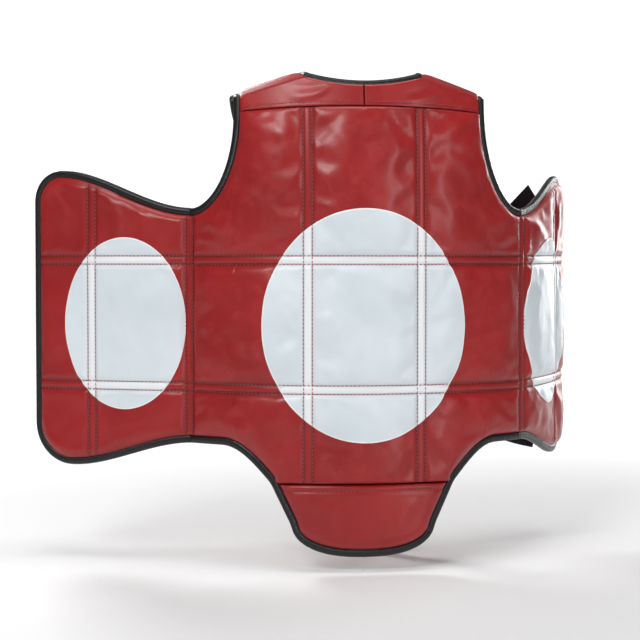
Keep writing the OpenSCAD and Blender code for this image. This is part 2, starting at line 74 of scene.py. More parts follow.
def buildMesh(name, points, quads, uv=None, marks=None, weld=False):
    # points (n, 3) in metres, quads (m, 4); uv (n, 2) and marks {name: (n,)} are values at the points
    mesh = bpy.data.meshes.new(name)
    quads = np.asarray(quads, np.int32)
    mesh.vertices.add(len(points))
    mesh.vertices.foreach_set("co", np.asarray(points, np.float32).ravel())
    mesh.loops.add(quads.size)
    mesh.loops.foreach_set("vertex_index", quads.ravel())
    mesh.polygons.add(len(quads))
    mesh.polygons.foreach_set("loop_start", np.arange(0, quads.size, 4, dtype=np.int32))
    mesh.update(calc_edges=True)
    if uv is not None:
        layer = mesh.uv_layers.new(name="panel")
        layer.data.foreach_set("uv", np.asarray(uv, np.float32)[quads.ravel()].ravel())
    for key, values in (marks or {}).items():
        made = mesh.attributes.new(key, "FLOAT", "POINT")
        made.data.foreach_set("value", np.asarray(values, np.float32).ravel())
    if weld:  # closes the poles, where a whole row of points falls together
        work = bmesh.new()
        work.from_mesh(mesh)
        bmesh.ops.remove_doubles(work, verts=work.verts, dist=2e-6)
        bmesh.ops.dissolve_degenerate(work, edges=work.edges, dist=1e-7)
        work.to_mesh(mesh)
        work.free()
    mesh.validate()
    mesh.polygons.foreach_set("use_smooth", np.ones(len(mesh.polygons), bool))
    piece = bpy.data.objects.new(name, mesh)
    bpy.context.collection.objects.link(piece)
    return piece


def facedOut(piece):
    # turns every face of a closed piece outwards
    work = bmesh.new()
    work.from_mesh(piece.data)
    bmesh.ops.recalc_face_normals(work, faces=work.faces)
    work.to_mesh(piece.data)
    work.free()
    return piece


def gridQuads(rows, columns, first=0, flip=False):
    # quads of a grid whose points run along a row first
    a = (np.arange(rows - 1)[:, None] * columns + np.arange(columns - 1)).ravel() + first
    quads = np.stack([a, a + 1, a + 1 + columns, a + columns], 1)
    return quads[:, ::-1] if flip else quads


def shellPiece(name, outer, inner, u, v, marks, flip):
    # a closed skin from two grids (rows, columns, 3) of points, joined round their borders;
    # u and v are its flat measures in millimetres
    rows, columns = outer.shape[:2]
    count = rows * columns
    at = np.arange(count).reshape(rows, columns)
    border = np.concatenate([at[0, :-1], at[:-1, -1], at[-1, :0:-1], at[:0:-1, 0]])
    after = np.roll(border, -1)
    wall = np.stack([after, border, border + count, after + count], 1)
    if flip:
        wall = wall[:, ::-1]
    quads = np.concatenate([gridQuads(rows, columns, 0, flip),
                            gridQuads(rows, columns, count, not flip), wall])
    points = np.concatenate([outer.reshape(-1, 3), inner.reshape(-1, 3)]) * mm
    both = {key: np.tile(value.ravel(), 2) for key, value in marks.items()}
    flat = np.tile(np.stack([u, v], -1).reshape(-1, 2) * mm, (2, 1))
    piece = buildMesh(name, points, quads, flat, both, weld=True)
    piece.data.set_sharp_from_angle(angle=cutEdge)
    return piece


def spread(low, high, step, marks):
    # positions from low to high about step apart, closer near each mark (place, reach, finer step)
    fine = np.linspace(low, high, 4001)
    gap = np.full_like(fine, step)
    for place, reach, near in marks:
        gap = np.minimum(gap, near + (step - near) * ease((abs(fine - place) - reach) / reach))
    total = np.concatenate([[0], np.cumsum(np.diff(fine) * 2 / (gap[1:] + gap[:-1]))])
    count = 2 * math.ceil(total[-1] / 2)
    return np.interp(np.linspace(0, total[-1], count + 1), total, fine)


def softMin(a, b, k=0.8):
    # the smaller of two heights, rounded over where they meet
    h = np.clip(0.5 + 0.5 * (b - a) / k, 0, 1)
    return b + (a - b) * h - k * h * (1 - h)


# sizes of the panel and the wings; t below is a height over their middle surface
panel = {"radius": 257, "fold": 192, "column": 57.5, "upper": 67, "lower": -66, "lean": 14,
         "leanFrom": 120, "neck": 252, "midY": -9.4, "seam": 225, "seamDrop": 5, "neckRise": 8,
         "neckAt": 57, "tip": 138, "shoulderDrop": 23, "armhole": 122, "hem": -126, "hemRun": 54,
         "flapSeam": -163, "flapAt": 98, "flapTaper": 0.5, "flapKnee": -206, "flapEnd": -239}
wingSet = {"length": 181, "line": 109, "curl": math.radians(16), -1: math.radians(15),
           1: math.radians(55), "top": 163, "bottom": -153, "topCorner": 33, "bottomCorner": 45}
foldAngle = panel["fold"] / panel["radius"]
turnReach = 12  # length over which the outward direction turns towards the fold
bindingIn = 4.4  # from the finished edge to the middle of its binding
skinIn = 8.4  # from the finished edge to where a skin begins to rise
tuck = 5  # how far inside the finished edge a skin ends, under its binding


def chestPoint(s, z, t):
    # a vertical cylinder leaning back at the top: s along it, z up, t outwards;
    # near a fold the outward direction turns to halve the angle with the wing
    s, z, t = np.broadcast_arrays(*[np.asarray(v, float) for v in (s, z, t)])
    a = s / panel["radius"]
    half = np.where(s > 0, (wingSet[1] - foldAngle) / 2, (wingSet[-1] - foldAngle) / 2)
    n = a + np.sign(s) * half * ease((abs(s) - panel["fold"] + turnReach) / turnReach)
    rise = np.clip(z - panel["leanFrom"], 0, None) / (panel["neck"] - panel["leanFrom"])
    x = panel["radius"] * np.sin(a) + t * np.sin(n)
    y = panel["midY"] + panel["radius"] * (1 - np.cos(a)) - t * np.cos(n) + panel["lean"] * rise ** 2
    return np.stack([x, y, z], -1)


def wingPoint(side):
    # the same for a wing: w along it from the fold, on an arc that curls towards the wearer
    first = wingSet[side]
    radius = wingSet["length"] / wingSet["curl"]
    foldX = panel["radius"] * math.sin(foldAngle)
    foldY = panel["midY"] + panel["radius"] * (1 - math.cos(foldAngle))

    def place(w, z, t):
        w, z, t = np.broadcast_arrays(*[np.asarray(v, float) for v in (w, z, t)])
        a = first + w / wingSet["length"] * wingSet["curl"]
        n = a + (foldAngle - first) / 2 * (1 - ease(w / turnReach))
        x = foldX + radius * (np.sin(a) - math.sin(first)) + t * np.sin(n)
        y = foldY + radius * (math.cos(first) - np.cos(a)) - t * np.cos(n)
        return np.stack([side * x, y, z], -1)
    return place


# outlines, each drawn in by e from the finished edge
def seamLine(s):
    return panel["seam"] - panel["seamDrop"] * (s / panel["tip"]) ** 2


def armhole(s, e):
    # quarter of an ellipse from the shoulder tip down to the fold
    low = seamLine(panel["tip"])
    q = np.clip((panel["fold"] - abs(s)) / (panel["fold"] - panel["tip"] + e), 0, 1)
    return low - (low - panel["armhole"] + e) * np.sqrt(1 - q * q)


def panelTop(s, e):
    return np.where(abs(s) <= panel["tip"] - e, seamLine(s), armhole(s, e))


def hemIn(s, e):
    # a quarter sine from the flap's corner up to the level hem, carried on straight below the corner
    rise = panel["hem"] - panel["flapSeam"]
    q = (abs(s) - panel["flapAt"]) / panel["hemRun"]
    steep = rise * math.pi / 2 / panel["hemRun"]
    inside = np.clip(q, 0, 1)
    slope = np.where(q >= 1, 0, steep * np.cos(inside * math.pi / 2))
    z = panel["flapSeam"] + rise * np.sin(inside * math.pi / 2) + np.minimum(q, 0) * panel["hemRun"] * steep
    return z + e * np.sqrt(1 + slope ** 2)


def panelBottom(s, e):
    return np.maximum(panel["flapSeam"], hemIn(s, e))


def roundCorner(w, r, e):
    q = np.clip(w - (wingSet["length"] - r), 0, None)
    return np.sqrt(np.clip((r - e) ** 2 - q * q, 0, None))


def wingHigh(w, e):
    r = wingSet["topCorner"]
    start = wingSet["length"] - r
    climb = panel["armhole"] + (wingSet["top"] - panel["armhole"]) * ease(w / start) - e
    return np.where(w <= start, climb, wingSet["top"] - r + roundCorner(w, r, e))


def wingLow(w, e):
    r = wingSet["bottomCorner"]
    start = wingSet["length"] - r
    fall = panel["hem"] + (wingSet["bottom"] - panel["hem"]) * ease(w / start) + e
    return np.where(w <= start, fall, wingSet["bottom"] + r - roundCorner(w, r, e))


def flapHalf(z, e):
    # half the flap's width: straight taper, then a rounded end
    knee = panel["flapKnee"]
    straight = panel["flapAt"] - 1.15 * e - panel["flapTaper"] * (panel["flapSeam"] - np.maximum(z, knee))
    q = np.clip((knee - z) / (knee - panel["flapEnd"] - e), 0, 1)
    return straight * (1 - q * q) ** 0.4


def runOf(points):
    # distance of each point from the first one, along the line
    return np.concatenate([[0], np.cumsum(np.linalg.norm(np.diff(points, axis=0), axis=1))])


def smoothLine(points, times):
    # rounds a line by averaging neighbours, its ends held
    points = np.array(points, float)
    for _ in range(times):
        points[1:-1] = (points[:-2] + 2 * points[1:-1] + points[2:]) / 4
    return points


def evenLine(points, step):
    # the same line at even steps of about that length
    points = np.asarray(points, float)
    run = runOf(points)
    count = max(2, int(round(run[-1] / step)))
    at = np.linspace(0, run[-1], count + 1)
    return np.stack([np.interp(at, run, points[:, k]) for k in range(points.shape[1])], 1)


def sideEdge(e):
    # the lower edge of the left half: level hem, corner of the flap, side and rounded end
    s = np.linspace(panel["fold"], 94, 90)
    q = np.linspace(0, math.pi / 2, 40)
    z = np.concatenate([np.linspace(-167, panel["flapKnee"], 30)[:-1],
                        panel["flapKnee"] - (panel["flapKnee"] - panel["flapEnd"] - e) * np.sin(q)])
    line = np.concatenate([np.stack([s, hemIn(s, e)], 1), np.stack([flapHalf(z, e), z], 1)])
    return evenLine(smoothLine(evenLine(line, 1.5), 12), 1.5)


def armEdge(e):
    q = np.linspace(0, math.pi / 2, 70)
    low = seamLine(panel["tip"])
    run = np.stack([panel["fold"] - (panel["fold"] - panel["tip"] + e) * np.cos(q),
                    low - (low - panel["armhole"] + e) * np.sin(q)], 1)
    return np.concatenate([[[panel["tip"] - e, low + 14]], run])


def wingEdge(e):
    # round a wing from the fold along its top, free edge and bottom, back to the fold
    end, tc, bc = wingSet["length"], wingSet["topCorner"], wingSet["bottomCorner"]
    w, v = np.linspace(0, end - tc, 60), np.linspace(end - bc, 0, 60)
    q = np.linspace(0, math.pi / 2, 24)
    upper = np.stack([end - tc + (tc - e) * np.sin(q), wingSet["top"] - tc + (tc - e) * np.cos(q)], 1)
    lower = np.stack([end - bc + (bc - e) * np.cos(q), wingSet["bottom"] + bc - (bc - e) * np.sin(q)], 1)
    line = np.concatenate([np.stack([w, wingHigh(w, e)], 1), upper, lower, np.stack([v, wingLow(v, e)], 1)])
    return evenLine(smoothLine(evenLine(line, 1.5), 8), 1.5)


def nearest(u, z, *lines):
    # distance from each (u, z) to the nearest of some lines of points
    line = np.concatenate([evenLine(one, 1.0) for one in lines])
    shape = u.shape
    a = np.stack([u.ravel(), z.ravel()], 1)
    found = [np.sqrt(((part[:, None] - line[None]) ** 2).sum(-1)).min(1) for part in np.array_split(a, 40)]
    return np.concatenate(found).reshape(shape)


# heights of the quilted face; column, row and fold are (depth at a stitched row, depth of the bar
# between the two rows, reach of the roll outside)
quilt = {"face": 9.4, "half": 4.4, "crown": 0.9, "edge": 2.4, "edgeRoll": 15, "seam": 3.6, "seamRoll": 5,
         "skin": 1.2, "column": (2.5, 1.3, 3.4), "row": (3.3, 1.7, 3.8), "fold": (4.4, 2.9, 4.6)}


def climb(d, span, low, high, power=2.3):
    # quarter of a superellipse from low, at d = 0, to high
    q = np.clip(d / span, 0, 1)
    return low + (high - low) * (1 - (1 - q) ** power) ** (1 / power)


def channel(d, kind):
    # two stitched rows with a small raised bar between them: depth below the face at a row, at the
    # middle of the bar, and the reach of the roll outside; bells on both sides of a row
    deep, bar, reach = quilt[kind]
    d = abs(d) - quilt["half"]
    inside = bar + (deep - bar) * np.exp(-(np.clip(-d, 0, None) / 1.5) ** 2)
    outside = deep * np.exp(-(np.clip(d, 0, None) / reach) ** 1.35)
    return quilt["face"] - np.where(d < 0, inside, outside)


def thickness(spec, u, z):
    # height of the skin over the middle surface, and how close each point is to a stitched row
    near = np.full(u.shape, 99.0)
    t = np.full(u.shape, float(quilt["face"]))
    for c in spec["columns"]:
        t = softMin(t, channel(u - c, "fold" if c in spec["foldColumns"] else "column"))
        near = np.minimum(near, abs(abs(u - c) - quilt["half"]))
    for r in (panel["upper"], panel["lower"]):
        t = softMin(t, channel(z - r, "row"))
        near = np.minimum(near, abs(abs(z - r) - quilt["half"]))
    t = t + quilt["crown"] * ease((near - 6) / 34)
    edge = nearest(np.abs(u) if spec["mirrored"] else u, z, *spec["edge"]) - skinIn
    t = softMin(t, climb(edge, quilt["edgeRoll"], quilt["edge"], quilt["face"] + 1, 2))
    for line in spec["seams"]:
        t = softMin(t, climb(np.abs(line(u) - z), quilt["seamRoll"], quilt["seam"], quilt["face"] + 1))
        near = np.minimum(near, np.abs(line(u) - z))
    return t, np.minimum(near, np.abs(edge) + 1)


def creases(folds, u, z):
    # soft ridges (u0, z0, u1, z1, height, width): a bell across each line, fading to its ends
    total = np.zeros(u.shape)
    for u0, z0, u1, z1, height, width in folds:
        run = math.hypot(u1 - u0, z1 - z0)
        du, dz = (u1 - u0) / run, (z1 - z0) / run
        along = ((u - u0) * du + (z - z0) * dz) / run
        across = (u - u0) * -dz + (z - z0) * du + 3 * np.sin(along * 4)
        taper = ease(along / 0.35) * ease((1 - along) / 0.35)
        wide = width * (0.55 + 0.75 * along)
        ridge, trough = across / wide, (across - 1.9 * wide) / wide
        total += height * taper * (np.exp(-ridge ** 2) - 0.45 * np.exp(-trough ** 2))
    return total


hideWaves = ((62, 0.42), (34, 0.2), (17, 0.08))  # wavelength and height of the leather's unevenness


def undulate(seed, u, z):
    # the leather's own unevenness: for each wavelength five sine waves in random directions
    random = np.random.default_rng(seed)
    total = np.zeros(u.shape)
    for wave, height in hideWaves:
        for _ in range(5):
            turn, phase, bend = random.uniform(0, full, 3)
            along = (u * math.cos(turn) + z * math.sin(turn)) * full / (wave * random.uniform(0.75, 1.3))
            total += height / 2.2 * np.sin(along + phase + 1.2 * np.sin(along * 0.43 + bend))
    return total


clothSet = {"frames": 18, "pressure": 2.2, "slack": 0.02, "cap": 2.4, "dent": -1.0, "rough": 0.1,
            "soften": 2}
clothFeel = {"quality": 5, "mass": 0.15, "tension_stiffness": 12, "compression_stiffness": 12,
             "shear_stiffness": 6, "bending_stiffness": 0.35, "shrink_min": -clothSet["slack"],
             "use_pressure": True, "uniform_pressure_force": clothSet["pressure"],
             "vertex_group_mass": "held"}


def billow(name, place, u, z, t, side, held):
    # the skin between its stitched rows billows as cloth; returns how far out each point moves
    scene = bpy.context.scene
    cu, cz, ct, ch = u[::2, ::2], z[::2, ::2], t[::2, ::2], held[::2, ::2]
    rows, columns = cu.shape
    random = np.random.default_rng(len(name) * 7 + rows)
    start = place(cu, cz, side * ct)
    outward = place(cu, cz, side * (ct + 1)) - start
    rough = random.normal(0, clothSet["rough"], cu.shape) * (1 - ch)
    begin = start + outward * rough[..., None]
    piece = buildMesh(name + "Cloth", begin.reshape(-1, 3) * mm, gridQuads(rows, columns, 0, side < 0))
    group = piece.vertex_groups.new(name="held")
    pinned = np.nonzero(ch.ravel() > 0.5)[0]
    group.add(pinned.tolist(), 1.0, "REPLACE")
    cloth = piece.modifiers.new("cloth", "CLOTH")
    for key, value in clothFeel.items():
        setattr(cloth.settings, key, value)
    cloth.settings.effector_weights.gravity = 0
    cloth.collision_settings.use_collision = False
    cloth.collision_settings.use_self_collision = False
    cloth.point_cache.frame_end = clothSet["frames"]
    for step in range(1, clothSet["frames"] + 1):
        scene.frame_set(step)
    done = piece.evaluated_get(bpy.context.evaluated_depsgraph_get()).data
    co = np.zeros(rows * columns * 3, np.float32)
    done.vertices.foreach_get("co", co)
    moved = ((co.reshape(rows, columns, 3) / mm - start) * outward).sum(-1)
    moved = np.clip(np.nan_to_num(moved), clothSet["dent"], clothSet["cap"]) * (1 - ch)
    bpy.data.objects.remove(piece, do_unlink=True)
    scene.frame_set(1)
    out = np.zeros(u.shape)
    out[::2, ::2] = moved
    out[1::2, ::2] = (moved[1:] + moved[:-1]) / 2
    out[:, 1::2] = (out[:, 2::2] + out[:, :-2:2]) / 2
    for _ in range(clothSet["soften"]):
        out[1:-1] = (out[:-2] + 2 * out[1:-1] + out[2:]) / 4
        out[:, 1:-1] = (out[:, :-2] + 2 * out[:, 1:-1] + out[:, 2:]) / 4
    print("cloth", name, rows * columns, "points, moved", round(float(out.max()), 2), "mm", flush=True)
    return out


def stretched(z, fromLow, fromHigh, toLow, toHigh):
    # moves heights between two pairs of edges: the middle row of cells is fixed, the others stretch
    lower, upper = panel["lower"], panel["upper"]
    below = lower + (z - lower) * (lower - toLow) / (lower - fromLow)
    above = upper + (z - upper) * (toHigh - upper) / (fromHigh - upper)
    return np.where(z < lower, below, np.where(z > upper, above, z))


def gridSample(values, i, j):
    # values of a grid between its points, row position i and column position j
    i = np.clip(i, 0, values.shape[0] - 1.001)
    j = np.clip(j, 0, values.shape[1] - 1.001)
    a, b = i.astype(int), j.astype(int)
    p, q = i - a, j - b
    return (values[a, b] * (1 - p) * (1 - q) + values[a + 1, b] * p * (1 - q)
            + values[a, b + 1] * (1 - p) * q + values[a + 1, b + 1] * p * q)


def skin(name, spec, side, folds):
    # one quilted skin, side 1 for the cover and -1 for the lining; returns the piece and a height sampler
    place = spec["place"]
    zs, u = np.meshgrid(spec["heights"], spec["across"], indexing="ij")
    z = stretched(zs, *spec["ref"], spec["low"](u), spec["high"](u))
    t, near = thickness(spec, u, z)
    held = (near < 2.2).astype(float)
    for c in spec["columns"]:
        held[abs(u - c) < quilt["half"] + 1] = 1
    for r in (panel["upper"], panel["lower"]):
        held[abs(z - r) < quilt["half"] + 1] = 1
    held[0], held[-1], held[:, 0], held[:, -1] = 1, 1, 1, 1
    soft = ease((near - 1.5) / 9)
    extra = billow(name, place, u, z, t, side, held)
    extra = extra + (creases(folds, u, z) + undulate(spec["seed"] * 5 + side, u, z)) * soft
    t = t + extra
    # the first mark sets where painted shade darkens the colour near the stitched rows and the edge; the
    # second sets the wear on the high face
    marks = {"grooveShade": 0.55 * (1 - ease(near / 3)), "high": ease((t - 8.4) / 2.6)}
    outer, inner = place(u, z, side * t), place(u, z, side * (t - quilt["skin"]))
    piece = shellPiece(name, outer, inner, u, z, marks, side * spec["turn"] < 0)

    def height(uu, zz):
        base = thickness(spec, uu, zz)[0]
        even = stretched(zz, spec["low"](uu), spec["high"](uu), *spec["ref"])
        i = np.interp(even, spec["heights"], np.arange(len(spec["heights"])))
        j = np.interp(uu, spec["across"], np.arange(len(spec["across"])))
        return base + gridSample(extra, i, j)
    return piece, height


byRows = [(panel["lower"], 7, 1.3), (panel["upper"], 7, 1.3)]
chestAcross = spread(0, panel["fold"], 2.7, [(panel["column"], 7, 1.3), (panel["fold"], 7, 1.3),
                                             (panel["tip"] - tuck + 1, 3, 0.55)])
chestSpec = {
    "place": chestPoint, "turn": 1, "mirrored": True,
    "columns": (-panel["fold"], -panel["column"], panel["column"], panel["fold"]),
    "foldColumns": (-panel["fold"], panel["fold"]), "seed": 3,
    "across": np.concatenate([-chestAcross[:0:-1], chestAcross]),
    "heights": spread(panel["flapSeam"], panel["seam"], 2.7,
                      byRows + [(panel["flapSeam"], 4, 1.3), (panel["seam"], 4, 1.3)]),
    "ref": (panel["flapSeam"], panel["seam"]),
    "low": lambda s: panelBottom(s, tuck), "high": lambda s: panelTop(s, tuck),
    "edge": (armEdge(0), sideEdge(0)[:70]),
    "seams": (seamLine, lambda s: np.where(abs(s) < panel["flapAt"], panel["flapSeam"], -400.0))}


def wingSpec(side):
    return {
        "place": wingPoint(side), "turn": side, "mirrored": False,
        "columns": (0, wingSet["line"]), "foldColumns": (0,), "seed": 8 + side,
        "across": spread(0, wingSet["length"] - tuck, 2.7, [(0, 7, 1.3), (wingSet["line"], 7, 1.3),
                                                           (wingSet["length"] - tuck, 5, 0.5)]),
        "heights": spread(wingSet["bottom"], wingSet["top"], 2.7, byRows),
        "ref": (wingSet["bottom"], wingSet["top"]),
        "low": lambda w: wingLow(w, tuck), "high": lambda w: wingHigh(w, tuck),
        "edge": (wingEdge(0),), "seams": ()}


covers = {}
heights = {}
foldsOn = {
    "chestCover": [(62, 192, 6, 158, 1.6, 9), (50, 205, 20, 182, 1.0, 7),
                   (-30, 200, 10, 176, 0.9, 8), (128, 214, 72, 196, 1.2, 8),
                   (-122, 214, -70, 190, 1.0, 9), (172, 118, 130, 96, 1.3, 7),
                   (-172, 116, -132, 92, 1.2, 8), (150, -118, 108, -92, 1.0, 8),
                   (-146, -116, -104, -94, 0.9, 8)],
    "chestLining": [(150, 176, 92, 118, 2.2, 10), (166, 136, 110, 100, 2.0, 9),
                    (178, 112, 120, 82, 1.8, 8), (-150, 176, -92, 118, 2.2, 10),
                    (-166, 136, -110, 100, 2.2, 9), (-178, 110, -122, 80, 1.8, 8),
                    (30, 200, -20, 150, 1.6, 10), (-44, 196, 4, 142, 1.6, 9),
                    (120, -110, 76, -84, 1.4, 8), (-118, -112, -74, -84, 1.3, 8)],
    "rightWingCover": [(96, 138, 70, 92, 1.3, 6), (60, 128, 46, 84, 0.9, 6),
                       (168, 150, 128, 96, 1.5, 8)],
    "rightWingLining": [(20, 116, 70, 84, 2.0, 8), (40, 128, 96, 92, 1.6, 8),
                        (150, -130, 122, -84, 1.4, 8)],
    "leftWingCover": [(20, 112, 64, 84, 1.5, 7), (130, 140, 116, 90, 1.4, 7),
                      (140, -128, 120, -80, 1.6, 8)],
    "leftWingLining": [(20, 116, 70, 84, 2.0, 8), (44, 128, 98, 90, 1.6, 8),
                       (150, -128, 124, -82, 1.4, 8)]}
for name, spec, side in [("chestCover", chestSpec, 1), ("chestLining", chestSpec, -1),
                         ("rightWingCover", wingSpec(-1), 1), ("rightWingLining", wingSpec(-1), -1),
                         ("leftWingCover", wingSpec(1), 1), ("leftWingLining", wingSpec(1), -1)]:
    covers[name], heights[name] = skin(name, spec, side, foldsOn[name])
print("quilted skins", {k: len(v.data.polygons) for k, v in covers.items()}, flush=True)


def flapThickness(s, z):
    edge = nearest(np.abs(s), z, sideEdge(0)) - skinIn
    t = softMin(np.full(s.shape, quilt["face"] + 0.4), climb(edge, 17, quilt["edge"], quilt["face"] + 1, 2))
    down = panel["flapSeam"] - z
    t = softMin(t, climb(down, 6, quilt["seam"], quilt["face"] + 1))
    return t - 1.3 * np.exp(-((down - 7) / 1.8) ** 2), edge, down  # a shallow dent along the topstitch


def flapHeight(s, z):
    return flapThickness(s, z)[0]


def flapSkin(name, side):
    q = np.linspace(0, math.pi / 2, 22)
    knee = panel["flapKnee"]
    end = knee - (knee - panel["flapEnd"] - tuck) * np.sin(q)
    z = np.concatenate([np.linspace(panel["flapSeam"], knee, 27)[:-1], end])[::-1]
    x = np.sin(np.linspace(-1, 1, 97) * math.pi / 2) * 0.35 + np.linspace(-1, 1, 97) * 0.65
    zz, xx = np.meshgrid(z, x, indexing="ij")
    ss = xx * flapHalf(zz, tuck)
    t, edge, down = flapThickness(ss, zz)
    folds = [(-60, -176, -20, -196, 0.8, 8), (58, -178, 26, -206, 0.8, 8)] if side > 0 else \
            [(-50, -174, -10, -214, 1.2, 9), (56, -176, 18, -204, 1.2, 8)]
    extra = creases(folds, ss, zz) * ease((edge - 2) / 12) * ease((down - 9) / 8)
    t = t + extra
    # the first mark sets where painted shade darkens the colour along the flap seam and the edge
    marks = {"grooveShade": np.maximum(1 - ease(down / 2.5), 1 - ease(np.abs(edge) / 2.5)),
             "high": ease((t - 8.4) / 2.6)}
    inner = chestPoint(ss, zz, side * (t - quilt["skin"]))
    return shellPiece(name, chestPoint(ss, zz, side * t), inner, ss, zz, marks, side < 0)


covers["flapCover"] = flapSkin("flapCover", 1)
covers["flapLining"] = flapSkin("flapLining", -1)

yokeSet = {"half": 5.0, "edge": 2.2, "neckRoll": 8}


def yokeTop(s, e):
    neck = panel["neck"] + panel["neckRise"] * (s / panel["neckAt"]) ** 2 - e
    fall = panel["shoulderDrop"] * (np.abs(s) - panel["neckAt"]) / (panel["tip"] - panel["neckAt"])
    return np.where(np.abs(s) <= panel["neckAt"], neck, panel["neck"] + panel["neckRise"] - e - fall)


def yokeThickness(s, z):
    # rolls off at the arm edge, the centre seam, the seam below and the shoulder line
    t = np.full(s.shape, yokeSet["half"] + 0.4)
    low = z - seamLine(s)
    t = softMin(t, climb(low, 5, quilt["seam"] - 0.4, 6.6) - 0.9 * np.exp(-((low - 4.6) / 1.5) ** 2))
    t = softMin(t, climb(s, 4, 2.9, 6.6) - 0.8 * np.exp(-((s - 4.2) / 1.5) ** 2))
    t = softMin(t, climb(panel["tip"] - skinIn - s, 12, yokeSet["edge"], 6.6))
    beside = np.hypot(np.clip(s - panel["neckAt"], 0, None),
                      np.clip(yokeTop(np.minimum(s, panel["neckAt"]), tuck) - z, 0, None))
    return softMin(t, climb(beside + 0.6, yokeSet["neckRoll"], yokeSet["edge"], 6.6))


def yokePiece(name, side):
    tip = panel["tip"] - tuck
    across = spread(0, tip, 2.4, [(0, 5, 0.9), (tip, 4, 1.2), (panel["neckAt"], 4, 1.2)])
    up = spread(0, 1, 0.06, [(0, 0.2, 0.03), (1, 0.2, 0.03)])
    uu, ss = np.meshgrid(up, across, indexing="ij")
    zz = seamLine(ss) + (yokeTop(ss, tuck) - seamLine(ss)) * uu
    t = yokeThickness(ss, zz)
    folds = [(40, 232, 92, 244, 0.9, 5), (96, 226, 128, 236, 0.9, 5)] if side > 0 else \
            [(30, 246, 80, 232, 0.9, 5)]
    t = t + creases(folds, ss, zz) * ease((t - 3) / 2)
    s = side * ss
    near = np.minimum(zz - seamLine(ss), ss)
    # the first mark sets where painted shade darkens the colour along the seam below and the centre seam
    marks = {"grooveShade": 1 - ease(near / 2.2), "high": ease((t - 3) / 3)}
    return shellPiece(name, chestPoint(s, zz, t), chestPoint(s, zz, -t), s, zz, marks, side < 0)


covers["rightYoke"] = yokePiece("rightYoke", -1)
covers["leftYoke"] = yokePiece("leftYoke", 1)


# shoulder strips: cross-sections [neck side, arm side] from the shoulder line over and down the back
stripSet = {"half": 5.2, "lift": 13, "piping": 7.0, "sections": np.array([
    [[57, 13, 255], [127, 35, 233.5]], [[58, 16, 257.3], [127.6, 39, 236]],
    [[62, 26, 258.6], [129.5, 49, 237.5]], [[68, 38, 254.5], [131, 58.5, 233]],
    [[69, 54, 235], [121, 72, 202]], [[44, 70, 198], [88, 81, 154]],
    [[-1, 80, 142], [44, 86, 94]], [[-28, 81, 92], [12, 84, 50]]], float)}
stripSet["sections"][0] = chestPoint([panel["neckAt"], panel["tip"] - tuck],
                                     yokeTop(np.array([57.01, 133]), tuck), 0)


def curveThrough(route, steps):
    # Catmull-Rom curve through rows of numbers, steps between neighbours
    route = np.asarray(route, float)
    last = len(route) - 1
    i = np.repeat(np.arange(last), steps)
    q = np.tile(np.arange(steps) / steps, last).reshape((-1,) + (1,) * (route.ndim - 1))
    a, b, c, d = route[np.maximum(i - 1, 0)], route[i], route[i + 1], route[np.minimum(i + 2, last)]
    bowed, twisted = 2 * a - 5 * b + 4 * c - d, 3 * b - a - 3 * c + d
    made = (2 * b + (c - a) * q + bowed * q ** 2 + twisted * q ** 3) / 2
    return np.concatenate([made, route[-1:]])


def unit(v):
    return v / np.maximum(np.linalg.norm(v, axis=-1, keepdims=True), 1e-9)


def stripRows(lift, steps=14):
    # the two edges of a strip, lifted off the back where it lies on the other strip
    sections = stripSet["sections"].copy()
    sections[:, :, 1] += lift * ease(np.maximum(np.arange(8) - 3, 0) / 4)[:, None]
    return curveThrough(sections, steps)


def stripPiece(name, side, lift, folds):
    rows = stripRows(lift)
    wide = unit(rows[:, 1] - rows[:, 0])
    middle = rows.mean(1)
    along = unit(np.gradient(middle, axis=0))
    out = unit(np.cross(wide, along))
    run = runOf(middle)
    breadth = np.linalg.norm(rows[:, 1] - rows[:, 0], axis=1)
    across = np.sin(np.linspace(-1, 1, 41) * math.pi / 2) * 0.5 + np.linspace(-1, 1, 41) * 0.5
    extraRun = 9.0  # the rounded end beyond the last section
    q = np.linspace(0, math.pi / 2, 12)[1:]
    ends = np.concatenate([np.zeros(len(run)), extraRun * np.sin(q)])
    narrow = np.concatenate([np.ones(len(run)), np.cos(q) ** 0.55])
    pick = np.concatenate([np.arange(len(run)), np.full(len(q), len(run) - 1)])
    runs = run[pick] + ends
    centre = middle[pick] + along[pick] * ends[:, None]
    half = (breadth[pick] / 2 - 1.5 * ease(runs / 20)) * np.clip(narrow, 0.002, 1)
    u = half[:, None] * across[None]
    inward = (1 - np.abs(across))[None] * half[:, None]
    t = climb(inward - 1.5, 13, 2.0, stripSet["half"], 2.2) * np.sqrt(np.clip(narrow, 0, 1))[:, None]
    start = (1 - ease(runs / 26))[:, None]  # at the shoulder it carries on from the yoke's own top row
    yokeS = panel["neckAt"] + 0.01 + (panel["tip"] - tuck - panel["neckAt"]) * (0.5 + across / 2)
    yokeZ = yokeTop(yokeS, tuck)
    yokeRow, yokeOut = chestPoint(yokeS, yokeZ, 0), chestPoint(yokeS, yokeZ, 1)
    t = t * (1 - start) + yokeThickness(yokeS, yokeZ)[None] * start
    rr = np.broadcast_to(runs[:, None], u.shape)
    extra = creases(folds, u, rr) * ease((inward - 3) / 8)
    base = centre[:, None] + wide[pick][:, None] * u[..., None]
    base = base + (yokeRow - base[0])[None] * start[..., None]
    blend = start[..., None]
    facing = unit((yokeOut - yokeRow)[None] * blend + out[pick][:, None] * (1 - blend))
    outer = base + facing * (t + extra)[..., None]
    inner = base - facing * t[..., None]
    # the first mark sets where painted shade darkens the colour along the strip's edges
    marks = {"grooveShade": 1 - ease((inward - 1) / 3), "high": ease((t + extra - 3.5) / 2.5)}
    if side < 0:
        outer[..., 0] *= -1
        inner[..., 0] *= -1
    return shellPiece(name, outer, inner, u, rr, marks, side < 0)


